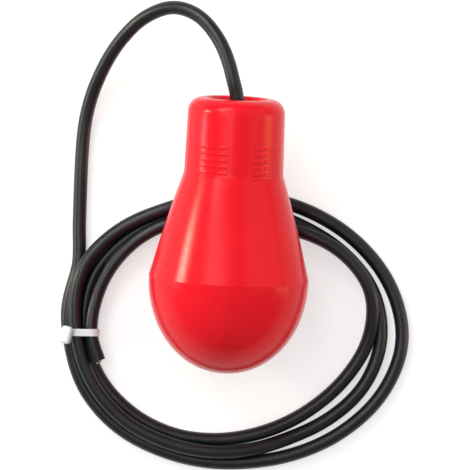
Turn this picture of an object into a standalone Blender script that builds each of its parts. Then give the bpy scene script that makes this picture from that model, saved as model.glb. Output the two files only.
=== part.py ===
"""Cable float switch, lying on its side on its own coiled cable.

The float's pieces are modelled upright in a frame of their own, with the
origin at the middle of the belly and +Z along the float to its neck. The
empty float_frame then lays them down, neck raised, over the coil.
All sizes are in metres.
"""
import math

import bmesh
import bpy
import numpy as np
from mathutils import Vector

# Clearance between pieces that seat on each other
SEAT_GAP = 0.0003

# Casing
CASING_WALL = 0.0027
BELLY_RADIUS = 0.0500
DOME_DEPTH = 0.0602
DOME_FULLNESS = 2.06
CONE_LENGTH = 0.0653
CONE_BULGE = 0.0006
NECK_FOOT_RADIUS = 0.0310
NECK_END_RADIUS = 0.0303
NECK_LENGTH = 0.0471
LIP_ROUND = 0.0090
LIP_INNER_ROUND = 0.0030
LIP_FLAT = 0.0008
DISH_DEPTH = 0.0072
DISH_SLOPE = 0.0040
SPIGOT_HEIGHT = 0.0048
SPIGOT_WALL = 0.0022
SPIGOT_COVER = 0.0035

# Ribbed panels round the neck, four of them, each a narrow and a wide ladder
RIB_ROWS = 5
RIB_PITCH = 0.00396
RIB_WIDTH = 0.0019
RIB_HEIGHT = 0.0005
RIB_START = 0.0012
PLAIN_HALF_ANGLE = 15.0
NARROW_LADDER_ANGLE = 11.0
LADDER_GAP_ANGLE = 4.0
WIDE_LADDER_ANGLE = 26.0
PLAIN_STEPS = 2
NARROW_STEPS = 2
WIDE_STEPS = 3
BACK_STEPS = 4
DOME_STEPS = 11
LIP_STEPS = 6

# Cable and its seal
CABLE_RADIUS = 0.00435
SEAL_RADIUS = 0.0098
SEAL_HEIGHT = 0.0092
SEAL_COLLAR = 0.0014
POCKET_WALL = 0.0028
POCKET_FLOOR = 0.0027
CABLE_STAND_OUT = 0.0016
CABLE_STRAIGHT = CABLE_RADIUS

# Cable clamp under the seal
CLAMP_HALF_WIDTH = 0.0120
CLAMP_HALF_DEPTH = 0.0088
CLAMP_HEIGHT = 0.0120
CLAMP_SPLIT = 0.0006
SCREW_RADIUS = 0.0014
SCREW_HEAD_RADIUS = 0.0026
SCREW_HEAD_HEIGHT = 0.0016
SCREW_HEAD_FACE = SCREW_HEAD_RADIUS * 0.7
SHARP_ANGLE = 35.0

# Inner capsule
CAPSULE_RADIUS = 0.0175
CAPSULE_WALL = 0.0030
CAPSULE_FLOOR = 0.0023
CAPSULE_BOTTOM = -0.0360
CAPSULE_STEP = 0.0400
CAPSULE_MOUTH_DEPTH = 0.0066
CAPSULE_MOUTH_STEP = 0.0012
CAP_FLANGE_PLAY = 0.0006
CAP_FLANGE_THICKNESS = 0.0030
CAP_BOSS_WALL = 0.0034
CAP_BOSS_HEIGHT = 0.0090
CAP_HOLE_SHARE = 0.75
CAP_HOLE_COUNT = 4
ORING_RADIUS = 0.0009
SOCKET_WALL = 0.0022
SOCKET_GRIP = 0.0080
SOCKET_LEDGE = 0.0045
LEDGE_HEIGHT = 0.0026
LEDGE_WIDTH = 0.0026

# Ball and its guide; the ball leaves room for the guide inside the capsule
BALL_TO_CAPSULE = 0.0065
BALL_RADIUS = CAPSULE_RADIUS - BALL_TO_CAPSULE
BALL_PLAY = 0.0004
GUIDE_WALL = 0.0018
GUIDE_FLOOR = 0.0020
GUIDE_RIM = 0.0020

# Microswitch and its carrier; the case is as long as the capsule's bore lets it be
CASE_TO_BORE = 0.00268
CASE_HEIGHT = 0.0159
CASE_THICKNESS = 0.0103
CASE_LENGTH = 2 * math.sqrt((CAPSULE_RADIUS - CASE_TO_BORE) ** 2 - (CASE_THICKNESS / 2) ** 2)
HOLE_TO_END = 0.0028
HOLE_SPACING_X = CASE_LENGTH - 2 * HOLE_TO_END
HOLE_SPACING_Z = 0.0095
PLATE_THICKNESS = 0.0025
CARRIER_FLANGE = 0.0020
CARRIER_HOLE = 0.0070
CASE_TO_FLANGE = 0.0104
PLUNGER_RADIUS = 0.0015
PLUNGER_LENGTH = 0.0048
PLUNGER_OFFSET = 0.0070
PLUNGER_PLAY = 0.0003
LEVER_THICKNESS = 0.0005
LEVER_WIDTH = 0.0040
LEVER_SHORTER = 0.0024
LEVER_LENGTH = CASE_LENGTH - LEVER_SHORTER
LEVER_ANGLE = 5.0
LEVER_PLUNGER_GAP = 0.0003
LEVER_STRIP_HALF = LEVER_WIDTH / 2 * 0.96
BARREL_RADIUS = 0.0012
PIN_RADIUS = 0.0006
PIN_PLAY = 0.00015
EAR_THICKNESS = 0.0016
EAR_RADIUS = 0.0016
LEVER_CLEARANCE = 0.0014
LEVER_TO_GUIDE = 0.0045
TERMINAL_WIDTH = 0.0048
TERMINAL_THICKNESS = 0.0008
TERMINAL_HEIGHT = 0.0068
TERMINAL_ROOT = 0.0010
TERMINAL_PITCH = CASE_LENGTH * 0.36
CORE_RADIUS = 0.0011
CORE_CIRCLE = 0.0022
CORE_SPREAD = 0.55
CORE_BENDS = (0.35, 0.62, 0.88)

# How the float lies
NECK_RAISE = 5.8

# Coil: centre, and its outer and inner edge and top at every 30 degrees, from +X
COIL_CENTRE = (0.0064, -0.0630)
COIL_OUTER = (0.1103, 0.1032, 0.0948, 0.0884, 0.0934, 0.1077,
              0.1104, 0.1040, 0.0923, 0.0867, 0.0897, 0.0998)
COIL_INNER = (0.0803, 0.0837, 0.0722, 0.0685, 0.0756, 0.0844,
              0.0870, 0.0827, 0.0714, 0.0629, 0.0612, 0.0681)
COIL_TOP = (0.0126, 0.0174, 0.0160, 0.0, 0.0155, 0.0150,
            0.0174, 0.0151, 0.0152, 0.0132, 0.0103, 0.0092)
COIL_UNDER_FLOAT = 3
COIL_CORNER = 0.0030
COIL_STEPS = 36
TIE_ANGLE = 182.0
TIED_HALF_ANGLE = 2.4
LIFT_FADE_ANGLE = 12.0
STEP_ANGLE = 0.15
LOW_END_ANGLE = 205.0

# Cable tie
TIE_THICKNESS = 0.0012
TIE_WIDTH = 0.0048
TIE_HEAD_LENGTH = 0.0074
TIE_HEAD_WIDTH = 0.0102
TIE_HEAD_THICKNESS = 0.0046

# Loose cable from the neck to the coil: hand-chosen points after the neck
LEAD_ROUTE = (
    (-0.0022, 0.0960, 0.0625), (-0.0068, 0.1075, 0.0610), (-0.0140, 0.1215, 0.0570),
    (-0.0272, 0.1345, 0.0510), (-0.0438, 0.1393, 0.0430), (-0.0608, 0.1323, 0.0340),
    (-0.0720, 0.1215, 0.0270), (-0.0794, 0.1107, 0.0215), (-0.0860, 0.0975, 0.0150),
    (-0.0914, 0.0826, 0.0095), (-0.0943, 0.0660, 0.0060), (-0.0957, 0.0480, 0.0046),
    (-0.0960, 0.0300, 0.0046), (-0.0959, 0.0130, 0.0046), (-0.0957, -0.0122, 0.0046),
)
LEAD_POINTS = 24

# Cut end of the cable, lying on the coil below the tie
TAIL_ROUTE = ((-0.0841, -0.0719, 0.0140), (-0.0823, -0.0779, 0.0139), (-0.0791, -0.0838, 0.0137))
TAIL_POINTS = 5
END_CORE_STAND_OUT = 0.0012
END_CORE_CIRCLE = CORE_CIRCLE * 0.7

COLOURS = {
    "red casing": ((0.83, 0.011, 0.018), 0.34, 0.0),
    "black rubber": ((0.012, 0.012, 0.013), 0.45, 0.0),
    "grey plastic": ((0.30, 0.31, 0.32), 0.5, 0.0),
    "white nylon": ((0.80, 0.80, 0.78), 0.45, 0.0),
    "black plastic": ((0.02, 0.02, 0.022), 0.5, 0.0),
    "steel": ((0.62, 0.62, 0.63), 0.25, 1.0),
    "brass": ((0.75, 0.52, 0.22), 0.3, 1.0),
    "brown core": ((0.16, 0.06, 0.025), 0.5, 0.0),
    "blue core": ((0.02, 0.11, 0.42), 0.5, 0.0),
    "yellow core": ((0.62, 0.55, 0.05), 0.5, 0.0),
}


# Scene and material helpers

def clear_scene():
    for item in list(bpy.data.objects):
        bpy.data.objects.remove(item, do_unlink=True)


def material(name):
    found = bpy.data.materials.get(name)
    if found:
        return found
    colour, roughness, metallic = COLOURS[name]
    made = bpy.data.materials.new(name)
    made.use_nodes = True
    shader = made.node_tree.nodes["Principled BSDF"]
    shader.inputs["Base Color"].default_value = (*colour, 1.0)
    shader.inputs["Roughness"].default_value = roughness
    shader.inputs["Metallic"].default_value = metallic
    made.diffuse_color = (*colour, 1.0)
    return made


def add_object(name, data, parent, finish):
    item = bpy.data.objects.new(name, data)
    bpy.context.scene.collection.objects.link(item)
    item.parent = parent
    if finish:
        data.materials.append(material(finish))
    return item


def mesh_object(name, shape, parent, finish, smooth=True):
    """Make an object from a bmesh, with its faces pointing out."""
    bmesh.ops.remove_doubles(shape, verts=shape.verts, dist=1e-7)
    bmesh.ops.recalc_face_normals(shape, faces=shape.faces)
    mesh = bpy.data.meshes.new(name)
    shape.to_mesh(mesh)
    shape.free()
    if smooth:
        mesh.shade_smooth()
        mesh.set_sharp_from_angle(angle=math.radians(SHARP_ANGLE))
    return add_object(name, mesh, parent, finish)


def cutter(name, shape, parent):
    item = mesh_object(name, shape, parent, None, smooth=False)
    item.hide_render = True
    item.display_type = "WIRE"
    return item


def boolean(target, tool, operation="DIFFERENCE"):
    step = target.modifiers.new(tool.name, "BOOLEAN")
    step.operation = operation
    step.solver = "EXACT"
    step.object = tool


# Shape helpers

def even_angles(sides):
    return [2 * math.pi * k / sides for k in range(sides)]


def turned(profile, angles):
    """Turn a profile of (radius, height) points about Z.

    A closed profile keeps clear of the axis. One that starts and ends on
    the axis is closed there by a single point.
    """
    shape = bmesh.new()
    closed = profile[0][0] > 0
    rings = []
    for radius, height in profile:
        if radius <= 0:
            rings.append([shape.verts.new((0, 0, height))] * len(angles))
            continue
        rings.append([shape.verts.new((radius * math.cos(a), radius * math.sin(a), height))
                      for a in angles])
    pairs = list(zip(rings, rings[1:]))
    if closed:
        pairs.append((rings[-1], rings[0]))
    cells = []
    for lower, upper in pairs:
        row = []
        for k in range(len(angles)):
            after = (k + 1) % len(angles)
            corners = []
            for vert in (lower[k], lower[after], upper[after], upper[k]):
                if vert not in corners:
                    corners.append(vert)
            row.append(shape.faces.new(corners) if len(corners) > 2 else None)
        cells.append(row)
    return shape, cells


def arc(centre_radius, centre_height, radius, start, end, steps):
    points = []
    for k in range(steps + 1):
        angle = math.radians(start + (end - start) * k / steps)
        points.append((centre_radius + radius * math.cos(angle),
                       centre_height + radius * math.sin(angle)))
    return points


def block(low, high):
    shape = bmesh.new()
    bmesh.ops.create_cube(shape, size=1.0)
    for vert in shape.verts:
        vert.co = Vector([low[i] + (high[i] - low[i]) * (vert.co[i] + 0.5) for i in range(3)])
    return shape


def rod(radius, start, end, sides=16):
    """A round bar between two points."""
    shape = bmesh.new()
    start, end = Vector(start), Vector(end)
    bmesh.ops.create_cone(shape, cap_ends=True, segments=sides, radius1=radius,
                          radius2=radius, depth=(end - start).length)
    turn = Vector((0, 0, 1)).rotation_difference(end - start)
    for vert in shape.verts:
        vert.co = turn @ vert.co + (start + end) / 2
    return shape


def smooth_points(route, count):
    """Read evenly spaced points from a smooth curve through the route."""
    knots = np.array(route, dtype=float)
    padded = np.vstack([2 * knots[0] - knots[1], knots, 2 * knots[-1] - knots[-2]])
    fine = []
    for k in range(len(knots) - 1):
        a, b, c, d = padded[k:k + 4]
        for t in np.linspace(0, 1, 24, endpoint=False):
            fine.append(0.5 * (2 * b + (c - a) * t + (2 * a - 5 * b + 4 * c - d) * t ** 2
                               + (3 * b - a - 3 * c + d) * t ** 3))
    fine.append(knots[-1])
    fine = np.array(fine)
    run = np.concatenate([[0], np.cumsum(np.linalg.norm(np.diff(fine, axis=0), axis=1))])
    wanted = np.linspace(0, run[-1], count)
    return np.stack([np.interp(wanted, run, fine[:, i]) for i in range(3)], axis=1)


def tube(name, points, radius, parent, finish, roundness=3):
    data = bpy.data.curves.new(name, "CURVE")
    data.dimensions = "3D"
    data.bevel_depth = radius
    data.bevel_resolution = roundness
    data.use_fill_caps = True
    line = data.splines.new("POLY")
    line.points.add(len(points) - 1)
    for slot, point in zip(line.points, points):
        slot.co = (*point, 1.0)
    line.use_smooth = True
    return add_object(name, data, parent, finish)


# Casing forms

def cone_radius(height):
    share = height / CONE_LENGTH
    straight = BELLY_RADIUS + (NECK_FOOT_RADIUS - BELLY_RADIUS) * share
    return straight + CONE_BULGE * 4 * share * (1 - share)


def neck_radius(height):
    share = (height - CONE_LENGTH) / (NECK_LENGTH - LIP_ROUND)
    return NECK_FOOT_RADIUS + (NECK_END_RADIUS - NECK_FOOT_RADIUS) * share


def dome_points(radius, depth, steps):
    """From the dome's tip out to its edge."""
    points = []
    for k in range(steps + 1):
        angle = math.pi / 2 * k / steps
        points.append((radius * math.sin(angle) ** (2 / DOME_FULLNESS),
                       -depth * math.cos(angle) ** (2 / DOME_FULLNESS)))
    points[0] = (0.0, -depth)
    points[-1] = (radius, 0.0)
    return points


CASING_END = CONE_LENGTH + NECK_LENGTH
DISH_FLOOR = CASING_END - DISH_DEPTH
POCKET_RADIUS = SEAL_RADIUS + SEAT_GAP
POCKET_BOTTOM = DISH_FLOOR - SEAL_HEIGHT - SEAT_GAP
POCKET_UNDERSIDE = POCKET_BOTTOM - POCKET_FLOOR
CABLE_BORE = CABLE_RADIUS + SEAT_GAP
CAPSULE_TOP = CAPSULE_STEP + CAPSULE_MOUTH_DEPTH
FLANGE_BOTTOM = CAPSULE_TOP + SEAT_GAP
FLANGE_TOP = FLANGE_BOTTOM + CAP_FLANGE_THICKNESS
LEDGE_BOTTOM = FLANGE_TOP + SEAT_GAP
LEDGE_TOP = LEDGE_BOTTOM + LEDGE_HEIGHT
CAP_FLANGE_RADIUS = cone_radius(LEDGE_BOTTOM) - CASING_WALL - CAP_FLANGE_PLAY
CAPSULE_OUTSIDE = CAPSULE_RADIUS + CAPSULE_WALL
CAP_HOLE_CIRCLE = (CAP_FLANGE_RADIUS + CAPSULE_OUTSIDE) / 2
CAP_HOLE_RADIUS = (CAP_FLANGE_RADIUS - CAPSULE_OUTSIDE) / 2 * CAP_HOLE_SHARE
CABLE_END = CASING_END - DISH_DEPTH + CABLE_STAND_OUT


def panel_angles():
    """Angles of the casing's facets, and which of them carry the ladders.

    One quarter runs from the middle of a plain zone to the side; the other
    three mirror it. The plain zone is turned by half its width to the right.
    """
    steps = [(PLAIN_HALF_ANGLE, PLAIN_STEPS, False), (NARROW_LADDER_ANGLE, NARROW_STEPS, True),
             (LADDER_GAP_ANGLE, 1, False), (WIDE_LADDER_ANGLE, WIDE_STEPS, True)]
    covered = sum(span for span, _, _ in steps)
    steps.append((90.0 - covered, BACK_STEPS, False))
    spans = [(span / count, ribbed) for span, count, ribbed in steps for _ in range(count)]
    around = spans + spans[::-1]
    around = around + around
    start = -90.0 + PLAIN_HALF_ANGLE / 2
    angles, ribbed = [], []
    for span, carries in around:
        angles.append(math.radians(start))
        ribbed.append(carries)
        start += span
    return angles, ribbed


def make_casing_upper(parent):
    """Neck and cone in one moulding, with the dished end and its seal pocket."""
    angles, ribbed = panel_angles()
    lip_height = CASING_END - LIP_ROUND
    ridge = NECK_END_RADIUS - LIP_ROUND
    inner_ridge = ridge - LIP_FLAT
    dish_edge = inner_ridge - LIP_INNER_ROUND
    cone = [(cone_radius(CONE_LENGTH * k / 5), CONE_LENGTH * k / 5) for k in range(6)]
    cone[0] = (BELLY_RADIUS, SEAT_GAP / 2)
    ribs = []
    for k in range(RIB_ROWS):
        low = CONE_LENGTH + RIB_START + k * RIB_PITCH
        ribs += [(neck_radius(h), h) for h in (low, low + RIB_WIDTH)]
    first_rib = len(cone)
    lip = arc(ridge, lip_height, LIP_ROUND, 0, 90, LIP_STEPS)
    lip_inside = arc(inner_ridge, CASING_END - LIP_INNER_ROUND, LIP_INNER_ROUND, 90, 180, 3)
    dish = [(dish_edge - DISH_SLOPE, DISH_FLOOR), (POCKET_RADIUS, DISH_FLOOR),
            (POCKET_RADIUS, POCKET_BOTTOM), (CABLE_BORE, POCKET_BOTTOM),
            (CABLE_BORE, POCKET_UNDERSIDE), (POCKET_RADIUS + POCKET_WALL, POCKET_UNDERSIDE),
            (POCKET_RADIUS + POCKET_WALL, DISH_FLOOR - CASING_WALL)]
    roof = CASING_END - CASING_WALL
    inside_neck = NECK_END_RADIUS - CASING_WALL
    under_dish = dish_edge - DISH_SLOPE + CASING_WALL
    inner_round = LIP_ROUND - CASING_WALL
    inside = [(under_dish, DISH_FLOOR - CASING_WALL), (dish_edge + CASING_WALL, roof - LIP_INNER_ROUND)]
    inside += arc(inside_neck - inner_round, roof - inner_round, inner_round, 90, 0, 4)
    inside += [(NECK_FOOT_RADIUS - CASING_WALL, CONE_LENGTH),
               (cone_radius(LEDGE_TOP) - CASING_WALL, LEDGE_TOP),
               (CAP_FLANGE_RADIUS - LEDGE_WIDTH, LEDGE_TOP),
               (CAP_FLANGE_RADIUS - LEDGE_WIDTH, LEDGE_BOTTOM),
               (cone_radius(LEDGE_BOTTOM) - CASING_WALL, LEDGE_BOTTOM)]
    mouth = BELLY_RADIUS - SPIGOT_COVER
    mouth_top = SPIGOT_HEIGHT + SEAT_GAP
    inside += [(cone_radius(mouth_top) - CASING_WALL, mouth_top), (mouth, mouth_top), (mouth, SEAT_GAP / 2)]
    shape, cells = turned(cone + ribs + lip + lip_inside + dish + inside, angles)
    raised = []
    for row in range(RIB_ROWS):
        cells_in_row = cells[first_rib + 2 * row]
        raised += [cell for cell, carries in zip(cells_in_row, ribbed) if carries]
    grown = bmesh.ops.extrude_face_region(shape, geom=raised)
    bmesh.ops.delete(shape, geom=raised, context="FACES_ONLY")
    for vert in (item for item in grown["geom"] if isinstance(item, bmesh.types.BMVert)):
        outward = Vector((vert.co.x, vert.co.y, 0)).normalized()
        vert.co += outward * RIB_HEIGHT
    return mesh_object("casing_upper", shape, parent, "red casing")


def make_casing_lower(parent):
    """Dome with a spigot into the upper casing and a socket for the capsule."""
    angles, _ = panel_angles()
    outside = dome_points(BELLY_RADIUS, DOME_DEPTH, DOME_STEPS)
    outside[-1] = (BELLY_RADIUS, -SEAT_GAP / 2)
    spigot_out = BELLY_RADIUS - SPIGOT_COVER - SEAT_GAP
    spigot_in = spigot_out - SPIGOT_WALL
    inner = dome_points(BELLY_RADIUS - CASING_WALL, DOME_DEPTH - CASING_WALL, DOME_STEPS)
    socket_in = CAPSULE_OUTSIDE + SEAT_GAP
    socket_out = socket_in + SOCKET_WALL
    socket_top = CAPSULE_BOTTOM + SOCKET_GRIP
    seat = CAPSULE_BOTTOM - SEAT_GAP
    ledge_in = socket_in - SOCKET_LEDGE
    wide = [point for point in inner if socket_out + CASING_WALL < point[0] < spigot_in]
    narrow = [point for point in inner if point[0] < ledge_in - CASING_WALL / 2]

    def wall_height(radius):
        share = (radius / (BELLY_RADIUS - CASING_WALL)) ** DOME_FULLNESS
        return -(DOME_DEPTH - CASING_WALL) * (1 - share) ** (1 / DOME_FULLNESS)

    profile = outside + [(spigot_out, -SEAT_GAP / 2), (spigot_out, SPIGOT_HEIGHT),
                         (spigot_in, SPIGOT_HEIGHT), (spigot_in, wall_height(spigot_in))]
    profile += wide[::-1]
    profile += [(socket_out, wall_height(socket_out)), (socket_out, socket_top),
                (socket_in, socket_top), (socket_in, seat), (ledge_in, seat),
                (ledge_in, wall_height(ledge_in))]
    profile += narrow[::-1]
    shape, _ = turned(profile, angles)
    return mesh_object("casing_lower", shape, parent, "red casing")


# Cable entry

def make_cable_seal(parent):
    base = POCKET_BOTTOM + SEAT_GAP
    top = DISH_FLOOR
    profile = [(CABLE_BORE, base), (SEAL_RADIUS, base), (SEAL_RADIUS, top),
               (CABLE_BORE + SEAL_COLLAR, top), (CABLE_BORE, top - SEAL_COLLAR / 2)]
    shape, _ = turned(profile, even_angles(24))
    return mesh_object("cable_seal", shape, parent, "black rubber")


def make_cable_inner(parent):
    bottom = CAPSULE_TOP - SEAT_GAP
    shape = rod(CABLE_RADIUS, (0, 0, bottom), (0, 0, CABLE_END), 16)
    return mesh_object("cable_inner", shape, parent, "black rubber")


def make_clamp(parent):
    """Two halves with a round channel, drawn together by two screws."""
    top = POCKET_UNDERSIDE - SEAT_GAP
    bottom = top - CLAMP_HEIGHT
    middle = (top + bottom) / 2
    screw_x = (CABLE_BORE + CLAMP_HALF_WIDTH) / 2 + SCREW_HEAD_RADIUS / 8
    channel = cutter("clamp_channel", rod(CABLE_BORE, (0, 0, bottom - CASING_WALL),
                                          (0, 0, top + CASING_WALL), 16), parent)
    holes = []
    for side in (-1, 1):
        reach = CLAMP_HALF_DEPTH + CASING_WALL
        holes.append(cutter("clamp_hole", rod(SCREW_RADIUS + SEAT_GAP, (side * screw_x, -reach, middle),
                                              (side * screw_x, reach, middle), 12), parent))
    for name, side in (("clamp_bridge", -1), ("clamp_saddle", 1)):
        near, far = side * CLAMP_SPLIT / 2, side * CLAMP_HALF_DEPTH
        shape = block((-CLAMP_HALF_WIDTH, min(near, far), bottom), (CLAMP_HALF_WIDTH, max(near, far), top))
        upright = [edge for edge in shape.edges
                   if abs(edge.verts[0].co.z - edge.verts[1].co.z) > CLAMP_HEIGHT / 2
                   and abs(edge.verts[0].co.y) > CLAMP_HALF_DEPTH / 2]
        bmesh.ops.bevel(shape, geom=upright, offset=CLAMP_HALF_DEPTH / 4, segments=3, affect="EDGES")
        half = mesh_object(name, shape, parent, "grey plastic", smooth=False)
        boolean(half, channel)
        for hole in holes:
            boolean(half, hole)
    for name, side in (("clamp_screw_left", -1), ("clamp_screw_right", 1)):
        make_screw(name, (side * screw_x, -CLAMP_HALF_DEPTH - SEAT_GAP, middle),
                   2 * CLAMP_HALF_DEPTH + SEAT_GAP, parent)


def make_screw(name, head_seat, length, parent):
    """A pan-head screw along +Y, its head in front of the seat point."""
    profile = [(0, -SCREW_HEAD_HEIGHT), (SCREW_HEAD_FACE, -SCREW_HEAD_HEIGHT),
               (SCREW_HEAD_RADIUS, -SCREW_HEAD_HEIGHT / 2), (SCREW_HEAD_RADIUS, 0),
               (SCREW_RADIUS, 0), (SCREW_RADIUS, length), (0, length)]
    shape, _ = turned(profile, even_angles(12))
    for vert in shape.verts:
        vert.co = Vector((vert.co.x, vert.co.z, -vert.co.y)) + Vector(head_seat)
    return mesh_object(name, shape, parent, "steel")


# Inner capsule

def make_capsule_body(parent):
    floor = CAPSULE_BOTTOM + CAPSULE_FLOOR
    step = CAPSULE_STEP
    mouth = CAPSULE_RADIUS + CAPSULE_MOUTH_STEP
    profile = [(0, CAPSULE_BOTTOM), (CAPSULE_OUTSIDE, CAPSULE_BOTTOM), (CAPSULE_OUTSIDE, CAPSULE_TOP),
               (mouth, CAPSULE_TOP), (mouth, step), (CAPSULE_RADIUS, step),
               (CAPSULE_RADIUS, floor), (0, floor)]
    shape, _ = turned(profile, even_angles(32))
    return mesh_object("capsule_body", shape, parent, "grey plastic")


def oring_place():
    bore = CAPSULE_RADIUS + CAPSULE_MOUTH_STEP
    ring = bore - SEAT_GAP - ORING_RADIUS
    height = CAPSULE_TOP - SEAT_GAP - 2 * ORING_RADIUS
    return ring, height


def make_capsule_cap(parent):
    """Lid with a plug, an O-ring groove, a wide flange and the cable's boss."""
    plug = CAPSULE_RADIUS + CAPSULE_MOUTH_STEP - SEAT_GAP
    ring, height = oring_place()
    groove = ring - ORING_RADIUS - SEAT_GAP
    half = ORING_RADIUS + SEAT_GAP
    plug_bottom = height - half - CAPSULE_MOUTH_STEP / 2
    boss = CABLE_BORE + CAP_BOSS_WALL
    profile = [(CABLE_BORE, plug_bottom), (plug, plug_bottom), (plug, height - half),
               (groove, height - half), (groove, height + half), (plug, height + half),
               (plug, FLANGE_BOTTOM), (CAP_FLANGE_RADIUS, FLANGE_BOTTOM),
               (CAP_FLANGE_RADIUS, FLANGE_TOP), (boss, FLANGE_TOP),
               (boss, FLANGE_TOP + CAP_BOSS_HEIGHT), (CABLE_BORE, FLANGE_TOP + CAP_BOSS_HEIGHT)]
    shape, _ = turned(profile, even_angles(32))
    cap = mesh_object("capsule_cap", shape, parent, "grey plastic")
    for k in range(CAP_HOLE_COUNT):
        angle = 2 * math.pi * (k + 0.5) / CAP_HOLE_COUNT
        x, y = CAP_HOLE_CIRCLE * math.cos(angle), CAP_HOLE_CIRCLE * math.sin(angle)
        hole = cutter("cap_hole", rod(CAP_HOLE_RADIUS, (x, y, FLANGE_BOTTOM - CASING_WALL),
                                      (x, y, FLANGE_TOP + CASING_WALL), 16), parent)
        boolean(cap, hole)
    return cap


def make_capsule_oring(parent):
    ring, height = oring_place()
    profile = arc(ring, height, ORING_RADIUS, 0, 315, 7)
    shape, _ = turned(profile, even_angles(32))
    return mesh_object("capsule_oring", shape, parent, "black rubber")


# Ball and guide

GUIDE_BOTTOM = CAPSULE_BOTTOM + CAPSULE_FLOOR + SEAT_GAP
BALL_REST = GUIDE_BOTTOM + GUIDE_FLOOR + SEAT_GAP + BALL_RADIUS
CARRIER_SEAT = CAPSULE_STEP + SEAT_GAP
CASE_BOTTOM = CARRIER_SEAT - CASE_TO_FLANGE - CASE_HEIGHT
HINGE_X = -CASE_LENGTH / 2 + EAR_RADIUS
HINGE_Z = CASE_BOTTOM - LEVER_CLEARANCE
LEVER_TIP = HINGE_Z - LEVER_LENGTH * math.tan(math.radians(LEVER_ANGLE))
GUIDE_TOP = LEVER_TIP - LEVER_TO_GUIDE


def make_ball_guide(parent):
    """Tube for the ball, with a wide foot and a wide rim that centre it."""
    bore = BALL_RADIUS + BALL_PLAY
    wide = CAPSULE_RADIUS - SEAT_GAP
    floor = GUIDE_BOTTOM + GUIDE_FLOOR
    profile = [(0, GUIDE_BOTTOM), (wide, GUIDE_BOTTOM), (wide, floor), (bore + GUIDE_WALL, floor),
               (bore + GUIDE_WALL, GUIDE_TOP - GUIDE_RIM), (wide, GUIDE_TOP - GUIDE_RIM),
               (wide, GUIDE_TOP), (bore, GUIDE_TOP), (bore, floor), (0, floor)]
    shape, _ = turned(profile, even_angles(32))
    return mesh_object("ball_guide", shape, parent, "white nylon")


def make_steel_ball(parent):
    """Lies at the low end of its guide; rolls along the float's axis."""
    shape = bmesh.new()
    bmesh.ops.create_uvsphere(shape, u_segments=24, v_segments=12, radius=BALL_RADIUS)
    ball = mesh_object("steel_ball", shape, parent, "steel")
    ball.location = (0, 0, BALL_REST)
    return ball


# Microswitch

def make_switch_carrier(parent):
    """Flange in the capsule's mouth with the plate that the switch is screwed to."""
    flange = CAPSULE_RADIUS + CAPSULE_MOUTH_STEP - SEAT_GAP
    ring, _ = turned([(CARRIER_HOLE, CARRIER_SEAT), (flange, CARRIER_SEAT),
                      (flange, CARRIER_SEAT + CARRIER_FLANGE),
                      (CARRIER_HOLE, CARRIER_SEAT + CARRIER_FLANGE)], even_angles(24))
    carrier = mesh_object("switch_carrier", ring, parent, "white nylon")
    near = CASE_THICKNESS / 2 + SEAT_GAP
    far = near + PLATE_THICKNESS
    half = min(CASE_LENGTH / 2 + PLATE_THICKNESS / 2,
               math.sqrt((CAPSULE_RADIUS - SEAT_GAP) ** 2 - far ** 2))
    plate = cutter("carrier_plate", block((-half, near, CASE_BOTTOM),
                                          (half, far, CARRIER_SEAT + CARRIER_FLANGE / 2)), parent)
    boolean(carrier, plate, "UNION")
    for x, z in screw_places():
        hole = cutter("carrier_hole", rod(SCREW_RADIUS + SEAT_GAP, (x, near - PLATE_THICKNESS, z),
                                          (x, far + PLATE_THICKNESS, z), 12), parent)
        boolean(carrier, hole)
    return carrier


def screw_places():
    middle = CASE_BOTTOM + CASE_HEIGHT / 2
    return ((-HOLE_SPACING_X / 2, middle - HOLE_SPACING_Z / 2),
            (HOLE_SPACING_X / 2, middle + HOLE_SPACING_Z / 2))


def terminal_places():
    return (("terminal_common", -TERMINAL_PITCH), ("terminal_open", 0.0), ("terminal_closed", TERMINAL_PITCH))


def make_switch_case(parent):
    """Case with two mounting holes, ears for the lever and three terminal slots."""
    half = CASE_LENGTH / 2
    thick = CASE_THICKNESS / 2
    shape = block((-half, -thick, CASE_BOTTOM), (half, thick, CASE_BOTTOM + CASE_HEIGHT))
    case = mesh_object("switch_case", shape, parent, "black plastic", smooth=False)
    for side in (-1, 1):
        inner = side * (LEVER_WIDTH / 2 + SEAT_GAP)
        outer = inner + side * EAR_THICKNESS
        ear = block((HINGE_X - EAR_RADIUS, min(inner, outer), HINGE_Z - EAR_RADIUS),
                    (HINGE_X + EAR_RADIUS, max(inner, outer), CASE_BOTTOM + EAR_RADIUS))
        boolean(case, cutter("lever_ear", ear, parent), "UNION")
    reach = LEVER_WIDTH + EAR_THICKNESS
    bore = rod(PIN_RADIUS + PIN_PLAY, (HINGE_X, -reach, HINGE_Z), (HINGE_X, reach, HINGE_Z), 12)
    boolean(case, cutter("ear_bore", bore, parent))
    for x, z in screw_places():
        hole = rod(SCREW_RADIUS + SEAT_GAP, (x, -2 * thick, z), (x, 2 * thick, z), 12)
        boolean(case, cutter("case_hole", hole, parent))
    plunger_x = HINGE_X + PLUNGER_OFFSET
    well = rod(PLUNGER_RADIUS + PLUNGER_PLAY, (plunger_x, 0, CASE_BOTTOM - PLUNGER_LENGTH),
               (plunger_x, 0, CASE_BOTTOM + PLUNGER_LENGTH), 12)
    boolean(case, cutter("plunger_well", well, parent))
    top = CASE_BOTTOM + CASE_HEIGHT
    for name, x in terminal_places():
        slot = block((x - TERMINAL_WIDTH / 2 - SEAT_GAP, -TERMINAL_THICKNESS / 2 - SEAT_GAP,
                      top - TERMINAL_ROOT - SEAT_GAP),
                     (x + TERMINAL_WIDTH / 2 + SEAT_GAP, TERMINAL_THICKNESS / 2 + SEAT_GAP,
                      top + TERMINAL_ROOT))
        boolean(case, cutter("terminal_slot", slot, parent))
    return case


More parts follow.
